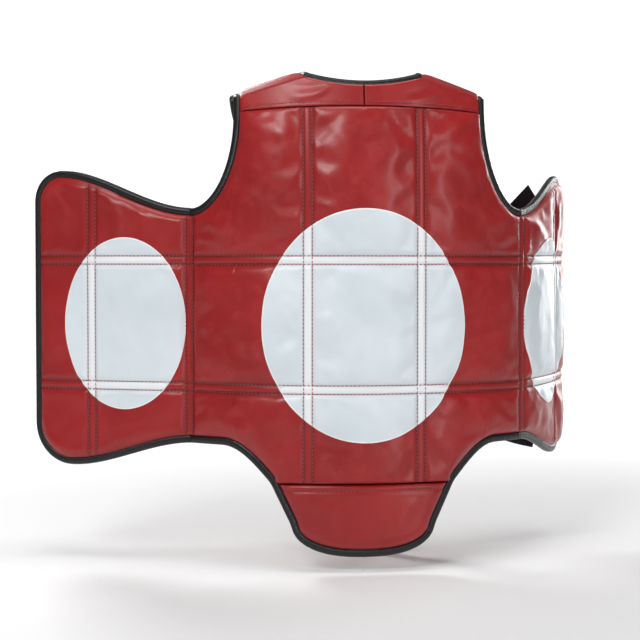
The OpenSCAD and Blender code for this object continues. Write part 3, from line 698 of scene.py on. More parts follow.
for name, side, lift, folds in (
        ("rightStrip", -1, stripSet["lift"],
         [(20, 60, -26, 92, 1.6, 7), (26, 96, -10, 120, 1.5, 8), (-30, 70, 6, 96, 1.0, 7),
          (24, 150, -8, 172, 0.9, 8), (-20, 30, 24, 44, 1.3, 6)]),
        ("leftStrip", 1, 0,
         [(24, 58, -22, 88, 1.7, 7), (28, 92, -8, 118, 1.6, 8), (-28, 128, 14, 150, 1.2, 8),
          (-20, 30, 24, 44, 1.3, 6)])):
    covers[name] = stripPiece(name, side, lift, folds)
print("flap, yoke, strips", flush=True)


# edge binding: a folded tape round an edge, its section a flattened round
bindingSet = {"width": 8.8, "thick": 7.6, "round": 0.72, "points": 16, "ripple": 0.12}


def sectionRing(width, thick, power, count):
    # superellipse: cosine and sine raised to a power below 1 square the section up
    a = np.arange(count) / count * full
    c, s = np.cos(a), np.sin(a)
    return np.stack([np.sign(c) * abs(c) ** power * width / 2, np.sign(s) * abs(s) ** power * thick / 2], 1)


def tubeQuads(rings, count):
    i, k = np.meshgrid(np.arange(rings - 1), np.arange(count), indexing="ij")
    a, b = i * count + k, i * count + (k + 1) % count
    return np.stack([a, b, b + count, a + count], -1).reshape(-1, 4)


def bindingPiece(name, *lines):
    # lines: (path (n, 2) on a surface, its place function, side); each ring point is the surface's point
    # at an offset across the path
    points, quads, uvs, first = [], [], [], 0
    ring = sectionRing(bindingSet["width"], bindingSet["thick"], bindingSet["round"], bindingSet["points"])
    for path, place, s in lines:
        step = np.gradient(path, axis=0)
        across = unit(np.stack([-step[:, 1], step[:, 0]], 1))
        run = runOf(path)
        puff = 1 + bindingSet["ripple"] * 0.35 * np.sin(run * 1.1) * np.sin(run * 0.37 + 1)
        path, across, run, puff = [np.concatenate([v[:1], v, v[-1:]]) for v in (path, across, run, puff)]
        size = np.ones(len(path))
        size[[0, -1]] = 0.001  # a flat end
        u = path[:, :1] + across[:, :1] * ring[None, :, 0] * size[:, None]
        z = path[:, 1:] + across[:, 1:] * ring[None, :, 0] * size[:, None]
        t = ring[None, :, 1] * (size * puff)[:, None]
        points.append(place(u * s, z, t).reshape(-1, 3))
        faces = tubeQuads(len(path), len(ring)) + first
        quads.append(faces[:, ::-1] if s < 0 else faces)
        around = np.broadcast_to(np.arange(len(ring)) / len(ring) * 25, (len(path), len(ring)))
        uvs.append(np.stack([around, np.broadcast_to(run[:, None], around.shape)], -1).reshape(-1, 2))
        first += len(points[-1])
    points, quads, uvs = map(np.concatenate, (points, quads, uvs))
    piece = buildMesh(name, points * mm, quads, uvs * mm, weld=True)
    return facedOut(piece)


edgePath = sideEdge(bindingIn)
atSeam = int(np.argmin(abs(edgePath[:, 1] - panel["flapSeam"])))
flapHalfPath = edgePath[atSeam:]
flapPath = np.concatenate([flapHalfPath, (flapHalfPath * [-1, 1])[-2::-1]])
armPath = armEdge(bindingIn)
armPath[0, 1] += 2.5  # up into the strip's binding
armPath = evenLine(armPath, 1.5)
neckS = np.linspace(-61, 61, 82)
neckRise = panel["neckRise"] * np.minimum(neckS / panel["neckAt"], 1.05) ** 2
neckPath = np.stack([neckS, panel["neck"] + neckRise - bindingIn], 1)
hemPath, wingPath = edgePath[:atSeam + 1], wingEdge(bindingIn)
bindings = {name: bindingPiece(name, *lines) for name, lines in {
    "hemBinding": [(hemPath, chestPoint, 1), (hemPath, chestPoint, -1)],
    "rightArmholeBinding": [(armPath, chestPoint, -1)], "leftArmholeBinding": [(armPath, chestPoint, 1)],
    "neckBinding": [(neckPath, chestPoint, 1)], "flapBinding": [(flapPath, chestPoint, 1)],
    "rightWingBinding": [(wingPath, wingPoint(-1), 1)],
    "leftWingBinding": [(wingPath, wingPoint(1), 1)]}.items()}


bandPoints = 14  # points round a band


def sweep(name, line, width, thick, ribs=0, power=0.3, cup=0.0):
    # a band carried along a line, whose rows hold a point and the direction of the width; ribs is their
    # pitch, 0 for none, power squares the section, and cup bends it by the square of the place across
    centre, wide = line[:, :3], line[:, 3:]
    along = unit(np.gradient(centre, axis=0))
    wide = unit(wide - (wide * along).sum(-1, keepdims=True) * along)
    up = np.cross(along, wide)
    run = runOf(centre)
    count = bandPoints
    ring = sectionRing(1, 1, power, count)
    w = ring[None, :, 0] * np.broadcast_to(width, run.shape)[:, None]
    h = ring[None, :, 1] * thick * np.ones((len(run), 1))
    if ribs:
        middle = ease((0.5 - np.abs(ring[:, 0])) / 0.06)[None]
        h = h * (1 + webSet["ribHeight"] * middle * np.sin(run[:, None] / ribs * full))
    h = h + cup * ((ring[None, :, 0] * 2) ** 2 - 0.33)
    ends, drawn = np.ones(len(run)), np.ones(len(run))
    ends[[0, -1]], drawn[[0, -1]] = 0.001, 0.97  # a flat end
    w, h = w * drawn[:, None], h * ends[:, None]
    points = centre[:, None] + wide[:, None] * w[..., None] + up[:, None] * h[..., None]
    across = np.broadcast_to(ring[None, :, 0] * np.max(width), h.shape) + np.sign(ring[None, :, 1]) * 40
    uv = np.stack([across, np.broadcast_to(run[:, None], h.shape)], -1)
    k = np.arange(count // 2 - 1)
    cap = np.stack([k, k + 1, (count - 2 - k) % count, (count - 1 - k) % count], 1)
    quads = np.concatenate([tubeQuads(len(run), count), cap[:, ::-1], cap + (len(run) - 1) * count])
    piece = buildMesh(name, points.reshape(-1, 3) * mm, quads, uv.reshape(-1, 2) * mm, weld=True)
    return facedOut(piece)


def stripBinding(name, side, lift):
    # piping down one edge, round the end and up the other, begun inside the shoulder's own bindings
    rows = stripRows(lift)
    rows = np.concatenate([rows[:1] - 3 * unit(rows[1] - rows[0])[None], rows])
    wide = unit(rows[:, 1] - rows[:, 0])
    middle = rows.mean(1)
    down = unit(middle[-1] - middle[-2])
    w = wide[-1]
    endHalf = np.linalg.norm(rows[-1, 1] - rows[-1, 0]) / 2
    q = np.linspace(0, math.pi, 40)[1:-1]
    aside = endHalf * np.sign(np.cos(q)) * abs(np.cos(q)) ** 0.6
    bend = middle[-1] - w * aside[:, None] + down * (9.6 * np.sin(q) ** 0.75)[:, None]
    line = np.concatenate([rows[:, 0] - wide * 0.3, bend, rows[::-1, 1] + wide[::-1] * 0.3])
    out = unit(np.cross(np.gradient(middle, axis=0), wide))
    flat = np.concatenate([out, np.repeat(out[-1:], len(bend), 0), out[::-1]])
    line = smoothLine(line, 3)
    if side < 0:
        line, flat = line * [-1, 1, 1], flat * [-1, 1, 1]
    line = evenLine(np.concatenate([line, flat], 1), 1.8)
    return sweep(name, line, stripSet["piping"] * 0.95, stripSet["piping"], power=0.8)


bindings["rightStripBinding"] = stripBinding("rightStripBinding", -1, stripSet["lift"])
bindings["leftStripBinding"] = stripBinding("leftStripBinding", 1, 0)
print("bindings", flush=True)


# targets: thin ovals lying on the cover; a size is (width, height, place across)
targetSet = {"lift": 0.5, "skin": 0.6, "centre": (207, 240, 0), "side": (135, 182, 72)}


def targetPiece(name, spec, height, size):
    # columns and rows follow the quilting: rows keep their height up to the stitched rows, then stretch
    # to the oval, half height times root (1 less the square of the offset over the half width)
    wide, high, at = size[0] / 2, size[1] / 2, size[2]
    across = spread(at - wide, at + wide, 1.7, [(c, 6, 0.9) for c in spec["columns"]]
                    + [(at - wide, 4, 0.22), (at + wide, 4, 0.22)])
    up = spread(-high, high, 1.7, [(panel["upper"], 6, 0.9), (panel["lower"], 6, 0.9),
                                   (-high, 2.5, 0.3), (high, 2.5, 0.3)])
    zs, u = np.meshgrid(up, across, indexing="ij")
    edge = high * np.sqrt(np.clip(1 - ((u - at) / wide) ** 2, 0, 1))
    mid = panel["upper"]
    squeeze = np.minimum(1, 0.94 * edge / mid)
    beyond = squeeze * mid + (abs(zs) - mid) / (high - mid) * (edge - squeeze * mid)
    z = np.where(abs(zs) <= mid, squeeze * zs, np.sign(zs) * beyond)
    rr = np.sqrt(((u - at) / wide) ** 2 + (z / high) ** 2)
    cut = np.sqrt(1 - np.clip((rr - 0.985) / 0.015, 0, 1) ** 2 * 0.7)
    t = height(u, z) + targetSet["lift"] + targetSet["skin"] * cut
    low = height(u, z) + 0.1
    near = np.minimum(abs(z - panel["upper"]), abs(z - panel["lower"]))
    for c in spec["columns"]:
        near = np.minimum(near, abs(u - c))
    # the bar mark places a painted highlight on the raised bars, the groove mark painted shade in the
    # stitched rows
    marks = {"rim": ease((rr - 0.984) / 0.006), "bar": 1 - ease((near - 3.2) / 1.0),
             "grooveShade": 1 - ease(abs(near - quilt["half"]) / 1.3)}
    outer, inner = spec["place"](u, z, t), spec["place"](u, z, low)
    return shellPiece(name, outer, inner, u, z, marks, spec["turn"] < 0)


targets = {}
for name, spec, cover, size in (("centreTarget", chestSpec, "chestCover", "centre"),
                                ("rightTarget", wingSpec(-1), "rightWingCover", "side"),
                                ("leftTarget", wingSpec(1), "leftWingCover", "side")):
    targets[name] = targetPiece(name, spec, heights[cover], targetSet[size])

# stitches: short rounded threads laid along each row
stitchSet = {"pitch": 4.2, "length": 3.2, "thread": 0.95, "lift": 0.3}


def stitchMesh(name, centres, along, up):
    # one capsule per stitch, its rings scaled by a half ellipse
    thread, length = stitchSet["thread"], stitchSet["length"]
    along, up = unit(along), unit(up)
    side = np.cross(up, along)
    x = np.array([-1, -0.82, -0.35, 0.35, 0.82, 1]) * length / 2
    r = np.sqrt(np.clip(1 - (x / (length / 2)) ** 2, 0, 1)) * thread / 2
    a = np.arange(6) / 6 * full
    rel = np.stack([np.repeat(x, 6), np.outer(r, np.cos(a)).ravel(), np.outer(r, np.sin(a)).ravel()], 1)
    points = (centres[:, None] + along[:, None] * rel[None, :, :1] + side[:, None] * rel[None, :, 1:2]
              + up[:, None] * rel[None, :, 2:])
    quads = tubeQuads(6, 6)[None] + (np.arange(len(centres)) * 36)[:, None, None]
    uv = np.stack([np.tile(np.repeat(x, 6), len(centres)), np.tile(np.tile(a, 6), len(centres))], 1)
    return buildMesh(name, points.reshape(-1, 3) * mm, quads.reshape(-1, 4), uv * mm, weld=True)


def stitchRow(path, place, height, side, oval=None):
    # centres, directions and outward directions of the stitches along a path on a surface, lifted by
    # the thickness of the target where they cross its oval (width, height, place)
    pitch = stitchSet["pitch"]
    if len(path) == 2:  # a straight row: stitches between whole multiples of the pitch, as the holes are
        k = int(np.argmax(np.abs(path[1] - path[0])))
        a, b = np.sort(path[:, k])
        at = np.arange(math.ceil(a / pitch), math.floor(b / pitch) + 0.5, 0.5) * pitch
        path = np.stack([np.interp(at, [a, b], path[np.argsort(path[:, k]), j]) for j in range(2)], 1)
    else:
        path = evenLine(path, pitch / 2)
    t = height(path[:, 0], path[:, 1]) + stitchSet["lift"]
    if oval:
        within = ((path[:, 0] - oval[2]) * 2 / oval[0]) ** 2 + (path[:, 1] * 2 / oval[1]) ** 2
        t = t + (targetSet["lift"] + targetSet["skin"]) * ease((1.02 - within) / 0.04)
    on = place(path[:, 0], path[:, 1], side * t)
    more = place(path[:, 0], path[:, 1], side * (t + 1))
    count = (len(path) - 1) // 2
    mid = np.arange(count) * 2 + 1
    return on[mid], on[mid + 1] - on[mid - 1], (more - on)[mid]


def gather(rows):
    return [np.concatenate(part) for part in zip(*rows)]


def line(*points):
    return np.array(points, float)


threads = {}
half = quilt["half"]
rowHeights = [r + d for r in (panel["upper"], panel["lower"]) for d in (-half, half)]
for name, side in (("chestCover", 1), ("chestLining", -1)):
    rows = []
    for s in (-1, 1):
        for c in (panel["column"] - half, panel["column"] + half, panel["fold"] - half):
            rows.append(line((s * c, float(panelBottom(c, 9)) + 2), (s * c, float(panelTop(c, 9)) - 2)))
    for r in rowHeights:
        rows.append(line((-panel["fold"] + half, r), (panel["fold"] - half, r)))
    oval = targetSet["centre"] if side > 0 else None
    made = gather([stitchRow(p, chestPoint, heights[name], side, oval) for p in rows])
    threads[name] = stitchMesh(name.replace("chest", "chestThread"), *made)
for which, body in ((-1, "rightWing"), (1, "leftWing")):
    for name, side in ((body + "Cover", 1), (body + "Lining", -1)):
        rows = []
        for c in (half, wingSet["line"] - half, wingSet["line"] + half):
            rows.append(line((c, float(wingLow(c, 9)) + 1), (c, float(wingHigh(c, 9)) - 1)))
        for r in rowHeights:
            rows.append(line((half, r), (wingSet["length"] - 10, r)))
        oval = targetSet["side"] if side > 0 else None
        made = gather([stitchRow(p, wingPoint(which), heights[name], side, oval) for p in rows])
        threads[name] = stitchMesh(name.replace("Wing", "WingThread"), *made)
flapRow = line((-86, panel["flapSeam"] - 7), (86, panel["flapSeam"] - 7))
flapRows = [stitchRow(flapRow, chestPoint, flapHeight, s) for s in (1, -1)]
threads["flap"] = stitchMesh("flapThread", *gather(flapRows))
yokeRows = []
for s in (-1, 1):
    run = np.linspace(5, panel["tip"] - 10, 60)
    for face in (1, -1):
        place = lambda u, z, t, s=s: chestPoint(s * u, z, t)
        yokeRows.append(stitchRow(np.stack([run, seamLine(run) + 4.6], 1), place, yokeThickness, face))
        yokeRows.append(stitchRow(line((4.2, 231), (4.2, 242)), place, yokeThickness, face))
threads["yoke"] = stitchMesh("yokeThread", *gather(yokeRows))
print("targets and stitches", {k: len(v.data.polygons) for k, v in threads.items()}, flush=True)

# webbing: each route is rows of a point and the direction of the band's width, as in the model
webSet = {"thick": 1.8, "narrow": 25, "wide": 30, "rib": 3.5, "ribHeight": 0.5, "pinch": 0.58}
routes = {
    "upperLeftStrap": [(226, 204, 142, -.6, -.3, .8), (190, 184, 108, -.6, -.3, .7),
                       (120, 142, 42, -.66, -.31, .67), (70, 116, -6, -.66, -.31, .67),
                       (44, 103, -28, -.6, -.2, .8)],
    "upperRightStrap": [(-316, 134, 138, .5, 0, .9), (-264, 130, 104, .5, .3, .8),
                        (-204, 124, 62, .2, 1, .3), (-120, 115, 10, .3, .9, .4),
                        (-50, 106, -26, .4, .3, .9), (-8, 100, -42, .4, 0, .9)],
    "lowerLeftStrap": [(14, 101.5, 62, .6, 0, .8), (36, 104, 42, .62, .15, .75),
                       (76, 123, 8, .66, .33, .67), (112, 139, -28, .66, .33, .67),
                       (144, 153, -66, .6, .2, .8), (164, 164, -92, .6, 0, .8),
                       (169, 163, -98, .6, 0, .8), (164, 157, -99, .5, 0, .9),
                       (140, 140, -98, .3, 0, 1), (108, 120, -96, .1, .3, 1),
                       (90, 108, -94, 0, .3, 1)],
    "lowerRightStrap": [(-6, 87, 76, -.5, 0, .8), (-36, 89, 62, -.5, 0, .8),
                        (-80, 93, 38, -.6, 0, .8), (-118, 98, 4, -.7, 0, .7),
                        (-150, 103, -36, -.7, 0, .7), (-178, 108, -68, -.6, 0, .8),
                        (-212, 113, -88, -.4, 0, .9), (-244, 119, -98, -.3, 0, 1),
                        (-250, 117, -100, -.3, 0, 1), (-246, 112, -101, -.3, 0, 1),
                        (-180, 104, -88, -.3, 0, 1), (-110, 99, -66, -.3, 0, 1),
                        (-50, 97, -50, -.3, 0, 1), (-14, 95, -42, -.3, 0, 1)],
    "hangingTail": [(60, 106, -112, 1, 0, .1), (72, 114, -132, 1, 0, .1),
                    (80, 116, -164, 1, 0, -.2), (66, 108, -198, .9, 0, -.4),
                    (46, 103, -226, .9, .1, -.4), (32, 110, -245, .9, .1, -.4),
                    (32, 121, -243, .9, .1, -.3), (36, 125, -234, .9, 0, -.2)],
    "rightTail": [(58, 103, -88, 0, 0, 1), (38, 109, -79, .2, 0, 1), (14, 118.5, -80, 0, 0, 1),
                  (-14, 121.5, -86, .2, 0, 1), (-38, 117, -95, .3, 0, 1),
                  (-58, 109, -106, .4, .1, 1)],
    "leftTail": [(84, 99, -104, .5, 0, .8), (98, 103, -113, .6, 0, .8), (112, 105, -124, .6, 0, .8),
                 (124, 103, -136, .6, 0, .8)],
    "foldedTail": [(37, 112.5, 10, 0, .1, 1), (28, 116.5, 10.5, 0, 0, 1), (12, 118, 11.5, 0, 0, 1),
                   (-12, 117, 12.5, 0, 0, 1), (-38, 112, 12, 0, -.1, 1)],
    "leftLoop": [(226, 196, -112, 0, 0, 1), (210, 188, -102, .4, 0, .9),
                 (193.6, 179, -89.2, .5, 0, .87), (181.4, 172, -78.8, .28, 0, 1),
                 (170.8, 163, -79.6, -.28, 0, .96), (161.6, 158.5, -90.2, -.8, 0, .6),
                 (154, 156, -102, -1, 0, 0), (156.2, 158, -112.4, -.87, 0, -.5),
                 (169.6, 166.7, -121.2, -.6, 0, -.8), (198, 181, -131, -.3, 0, -.95),
                 (225, 195, -138, 0, 0, -1)],
    "rightLoop": [(-318, 134, -108, 0, 0, 1), (-294, 131.5, -97, -.3, 0, .95),
                  (-269.9, 128, -85.6, -.3, 0, .95), (-255, 124.5, -79.8, .1, 0, 1),
                  (-245.3, 118, -84.1, .58, 0, .81), (-240.1, 114.7, -97.1, .95, 0, .3),
                  (-236.9, 114.5, -110.7, .94, 0, -.33), (-242.4, 118, -119.8, .66, 0, -.75),
                  (-257.9, 124, -123.6, .3, 0, -.95), (-288, 130.5, -131, .2, 0, -.95),
                  (-318, 134, -138, 0, 0, -1)]}
knotBands = {  # the ties: width, ribbed or not, route
    "knotCore": (20, False, [(-2, 98, -55, .2, 0, 1), (8, 99, -54, .2, 0, 1),
                             (22, 99, -51, .1, 0, 1), (34, 99, -47, 0, 0, 1),
                             (42, 99, -45, 0, 0, 1)]),
    "knotWrap": (28, False, [(46, 98, -70, .5, .2, .8), (36, 108, -62, .5, .1, .9),
                             (18, 115.5, -49, .5, 0, .8), (-4, 115, -36, .4, 0, .9),
                             (-28, 110.5, -28.5, .35, .2, .9), (-52, 107.5, -26, .3, .4, .9)]),
    "knotFold": (24, False, [(18, 103, -16, 1, 0, 0), (17, 112.5, -22, 1, 0, 0),
                             (16, 117.5, -34, 1, 0, .1), (18, 119.5, -46, .9, 0, .2),
                             (22, 115, -60, .9, 0, .3), (26, 104, -66, .9, 0, .3)]),
    "knotTip": (17, False, [(10, 106, -48, .8, 0, .6), (0, 112, -38, .8, 0, .6),
                            (-8, 115.5, -24, .9, 0, .4), (-11, 115, -15, .9, 0, .2),
                            (-10, 111, -12, .9, 0, .1), (-5, 107, -20, .9, 0, .3),
                            (2, 104, -34, .8, 0, .5)]),
    "knotBundle": (25, True, [(45, 100, -32, .9, 0, .4), (48, 107, -42, .9, 0, .4),
                              (54, 113, -58, .9, 0, .4), (62, 114.5, -74, .9, 0, .4),
                              (70, 112, -88, .9, 0, .4), (77, 104, -100, .8, 0, .5)]),
    "knotTurn": (21, True, [(86, 99, -74, .5, 0, -.87), (79, 109, -76, .5, 0, -.87),
                            (68, 117.5, -81, .5, 0, -.87), (57, 116.5, -88, .5, 0, -.87),
                            (48, 109, -94, .5, .1, -.87), (42, 99, -98, .5, .2, -.87)]),
    "knotDrop": (25, False, [(54, 101, -80, 1, 0, 0), (55, 108, -90, 1, 0, 0),
                             (58, 107.5, -102, 1, 0, .1), (60, 104.5, -112, 1, 0, .1),
                             (66, 107.5, -122, 1, 0, .1)]),
    "foldedStem": (22, False, [(24, 106, -34, 1, 0, 0), (24, 110, -24, 1, 0, 0),
                               (24, 113, -10, 1, 0, 0), (24, 114.5, 4, 1, 0, 0),
                               (24, 114.5, 12, 1, 0, 0)]),
    "sewnEnd": (25.5, True, [(40, 104.8, 38, .62, .1, .75), (28, 106.4, 49.5, .62, .1, .75),
                             (17, 107, 59.5, .62, 0, .75), (8, 106.6, 67.5, .62, 0, .75)]),
    "knotBack": (18, True, [(44, 100, -82, .3, 0, 1), (56, 101, -86, .3, 0, 1),
                            (68, 101, -91, .3, 0, 1), (82, 102, -95, .3, 0, 1)])}
webbing = {}
lines = {}
for name, (wide, ribbed, route) in knotBands.items():
    made = evenLine(curveThrough(route, 40), 0.6 if ribbed else 1.2)
    thick = 15 if name in ("knotCore", "knotBack") else webSet["thick"] * 1.3
    ends = np.minimum(np.linspace(0, 1, len(made)), np.linspace(1, 0, len(made)))
    uneven = 1 + 0.05 * np.sin(np.arange(len(made)) * 0.09 + len(name))
    width = wide * (0.78 + 0.22 * ease(ends / 0.3)) * uneven
    webbing[name] = sweep(name, made, width, thick, webSet["rib"] * ribbed,
                          power=0.75 if thick > 9 else 0.3, cup=0.0 if thick > 9 else -1.1)
for name, route in routes.items():
    wide = webSet["wide" if name.startswith("upper") or name == "foldedTail" else "narrow"]
    ribbed = name.startswith("lower") or name in ("rightTail", "leftTail", "leftLoop", "rightLoop")
    made = evenLine(curveThrough(route, 40), 0.6 if ribbed else 1.6)
    lines[name] = made[:, :3]
    if name.endswith("Loop"):  # a loop is bunched where the strap passes round it
        wide = wide * (1 - webSet["pinch"] * np.exp(-((np.linspace(0, 1, len(made)) - 0.45) / 0.2) ** 2))
    webbing[name] = sweep(name, made, wide, webSet["thick"], webSet["rib"] * ribbed, power=0.22, cup=0.25)
print("webbing", {k: len(v.data.polygons) for k, v in webbing.items()}, flush=True)


def newGroup(name, outputs, **inputs):
    # a shader group with a Vector input, number inputs with their values, and number outputs
    group = bpy.data.node_groups.new(name, "ShaderNodeTree")
    make, number = group.interface.new_socket, "NodeSocketFloat"
    make("Vector", in_out="INPUT", socket_type="NodeSocketVector")
    for label, value in inputs.items():
        make(label.replace("_", " "), in_out="INPUT", socket_type=number).default_value = value
    for label in outputs:
        make(label, in_out="OUTPUT", socket_type=number)
    return group, group.nodes.new("NodeGroupInput").outputs, group.nodes.new("NodeGroupOutput").inputs


def addNode(tree, kind, settings=None, **values):
    # settings are the node's own options, values its unlinked sockets by name (spaces written as _)
    node = tree.nodes.new(kind)
    for key, value in (settings or {}).items():
        setattr(node, key, value)
    for key, value in values.items():
        node.inputs[key.replace("_", " ")].default_value = value
    return node


def fill(tree, socket, value):
    # links an output to a socket, or sets a number or a colour on it
    if isinstance(value, (int, float)):
        socket.default_value = value
    elif isinstance(value, tuple):
        socket.default_value = value + (1,)
    else:
        tree.links.new(value, socket)


def mathNode(tree, operation, a, b=None):
    node = addNode(tree, "ShaderNodeMath", {"operation": operation})
    fill(tree, node.inputs[0], a)
    if b is not None:
        fill(tree, node.inputs[1], b)
    return node.outputs[0]


def times(tree, a, b):
    return mathNode(tree, "MULTIPLY", a, b)


def mixColour(tree, factor, a, b):
    node = addNode(tree, "ShaderNodeMix", {"data_type": "RGBA"})
    for k, value in ((0, factor), (6, a), (7, b)):  # the colour pair of the Mix node is 6 and 7
        fill(tree, node.inputs[k], value)
    return node.outputs[2]


def ranged(tree, value, low, high, toLow, toHigh):
    node = addNode(tree, "ShaderNodeMapRange")
    for socket, number in zip(node.inputs, (value, low, high, toLow, toHigh)):
        fill(tree, socket, number)
    return node.outputs[0]


def vectorTo(tree, source, *nodes):
    for node in nodes:
        tree.links.new(source, node.inputs["Vector"])


# leather grain: pebbles from a voronoi pattern, broken up by noise, with slow changes of tone
grainGroup, given, wanted = newGroup("leatherGrain", ("Height", "Tone", "Rub"), Scale=900.0)
cells = addNode(grainGroup, "ShaderNodeTexVoronoi", {"feature": "SMOOTH_F1"}, Smoothness=0.35)
fineNoise = addNode(grainGroup, "ShaderNodeTexNoise", Detail=3.0, Roughness=0.6)
slow = addNode(grainGroup, "ShaderNodeTexNoise", Scale=11.0, Detail=3.0, Roughness=0.55)
rub = addNode(grainGroup, "ShaderNodeTexNoise", Scale=46.0, Detail=5.0, Roughness=0.7, Distortion=0.6)
vectorTo(grainGroup, given["Vector"], cells, fineNoise, slow, rub)
fill(grainGroup, cells.inputs["Scale"], given["Scale"])
fill(grainGroup, fineNoise.inputs["Scale"], times(grainGroup, given["Scale"], 0.6))
pebble = mathNode(grainGroup, "ADD", times(grainGroup, cells.outputs["Distance"], -0.7),
                  times(grainGroup, fineNoise.outputs[0], 0.6))
for label, value in (("Height", pebble), ("Tone", slow.outputs[0]), ("Rub", rub.outputs[0])):
    fill(grainGroup, wanted[label], value)

# woven tape: two crossing sine waves and a slight unevenness
weaveGroup, given, wanted = newGroup("tapeWeave", ("Height", "Tone"), Across=900.0, Along=900.0)
apart = addNode(weaveGroup, "ShaderNodeSeparateXYZ")
uneven = addNode(weaveGroup, "ShaderNodeTexNoise", Scale=420.0, Detail=3.0, Roughness=0.6)
vectorTo(weaveGroup, given["Vector"], apart, uneven)
alongWave = times(weaveGroup, apart.outputs[1], given["Along"])
diagonal = mathNode(weaveGroup, "ADD", times(weaveGroup, apart.outputs[0], given["Across"]), alongWave)
waves = [times(weaveGroup, mathNode(weaveGroup, "SINE", times(weaveGroup, wave, full)), 0.3)
         for wave in (diagonal, alongWave)]
together = mathNode(weaveGroup, "ADD", *waves)
together = mathNode(weaveGroup, "ADD", together, times(weaveGroup, uneven.outputs[0], 0.5))
fill(weaveGroup, wanted["Height"], together)
fill(weaveGroup, wanted["Tone"], uneven.outputs[0])

# the needle holes, and painted shade along the stitched rows where the leather is drawn in, from the
# piece's own lengths
holeGroup, given, wanted = newGroup("stitchHoles", ("Hole", "RowShade"), Column_A=0.0575, Column_B=0.192,
                                    Half=quilt["half"] * mm, Pitch=stitchSet["pitch"] * mm)
apart = addNode(holeGroup, "ShaderNodeSeparateXYZ")
vectorTo(holeGroup, given["Vector"], apart)


def rowDistance(value, centre):
    # distance to the nearer of two rows beside a line: the size of (size of the offset, less half)
    off = mathNode(holeGroup, "ABSOLUTE", mathNode(holeGroup, "SUBTRACT", value, centre))
    return mathNode(holeGroup, "ABSOLUTE", mathNode(holeGroup, "SUBTRACT", off, given["Half"]))


def holesAlong(distance, along):
    # dots of the needle: a cosine along the row, kept close to it
    turns = times(holeGroup, mathNode(holeGroup, "DIVIDE", along, given["Pitch"]), full)
    dot = ranged(holeGroup, mathNode(holeGroup, "COSINE", turns), 0.55, 0.95, 0, 1)
    return times(holeGroup, dot, ranged(holeGroup, distance, 0.0004, 0.0009, 1, 0))


def nearerOf(value, *centres):
    return mathNode(holeGroup, "MINIMUM", *[rowDistance(value, centre) for centre in centres])


acrossAt, upAt = apart.outputs[0], apart.outputs[1]
byColumn = nearerOf(mathNode(holeGroup, "ABSOLUTE", acrossAt), given["Column A"], given["Column B"])
byRow = nearerOf(upAt, panel["upper"] * mm, panel["lower"] * mm)
holes = mathNode(holeGroup, "MAXIMUM", holesAlong(byColumn, upAt), holesAlong(byRow, acrossAt))
fill(holeGroup, wanted["Hole"], holes)
# painted shade: a darker band close to the stitched rows
rowShadeMask = ranged(holeGroup, mathNode(holeGroup, "MINIMUM", byColumn, byRow), 0.0005, 0.0022, 1, 0)
fill(holeGroup, wanted["RowShade"], rowShadeMask)


def newMaterial(name, roughness, **fixed):
    material = bpy.data.materials.new(name)
    material.use_nodes = True
    tree = material.node_tree
    shader = tree.nodes["Principled BSDF"]
    for key, value in {"Roughness": roughness, **fixed}.items():
        shader.inputs[key.replace("_", " ")].default_value = value
    return material, tree, shader.inputs


def markOf(tree, name):
    return addNode(tree, "ShaderNodeAttribute", {"attribute_name": name}).outputs["Fac"]


def panelUv(tree):
    return addNode(tree, "ShaderNodeUVMap", {"uv_map": "panel"}).outputs[0]


def placed(tree, group, **values):
    # a shader group placed in a material with its own values, reading the piece's flat measures
    node = addNode(tree, "ShaderNodeGroup", {"node_tree": group}, **values)
    vectorTo(tree, panelUv(tree), node)
    return node.outputs


def finished(tree, surface, colour, rough, height, strength, distance):
    fill(tree, surface["Base Color"], colour)
    if rough:
        fill(tree, surface["Roughness"], rough)
    bump = addNode(tree, "ShaderNodeBump", Strength=strength, Distance=distance)
    fill(tree, bump.inputs["Height"], height)
    fill(tree, surface["Normal"], bump.outputs[0])


def leather(name, deep, light, grooveShade, worn, holeShade, roughness, columns=None):
    # two reds by slow tone, worn where the face is high, with darker painted shade in the grooves, along
    # the stitched rows and in the needle holes
    material, tree, surface = newMaterial(name, roughness, Specular_IOR_Level=0.42, Coat_Weight=0.12,
                                          Coat_Roughness=0.2)
    grain = placed(tree, grainGroup, Scale=900.0)
    colour = mixColour(tree, ranged(tree, grain["Tone"], 0.35, 0.65, 0, 1), deep, light)
    wear = times(tree, markOf(tree, "high"), ranged(tree, grain["Rub"], 0.5, 0.72, 0, 0.5))
    colour = mixColour(tree, wear, colour, worn)
    # painted shade: the colour darkens towards the shade colour where the first mark is high
    colour = mixColour(tree, times(tree, markOf(tree, "grooveShade"), 0.6), colour, grooveShade)
    height = grain["Height"]
    if columns:
        rows = placed(tree, holeGroup, Column_A=columns[0] * mm, Column_B=columns[1] * mm)
        # painted shade along the stitched rows, then dark painted shade in the needle holes, which are also
        # dented in the bump
        colour = mixColour(tree, times(tree, rows["RowShade"], 0.4), colour, grooveShade)
        colour = mixColour(tree, times(tree, rows["Hole"], 0.8), colour, holeShade)
        height = mathNode(tree, "SUBTRACT", height, times(tree, rows["Hole"], 2.5))
    rough = mathNode(tree, "ADD", ranged(tree, grain["Rub"], 0.3, 0.7, roughness - 0.05, roughness + 0.07),
                     times(tree, markOf(tree, "grooveShade"), 0.14))
    finished(tree, surface, colour, rough, height, 0.35, 0.00025)
    return material
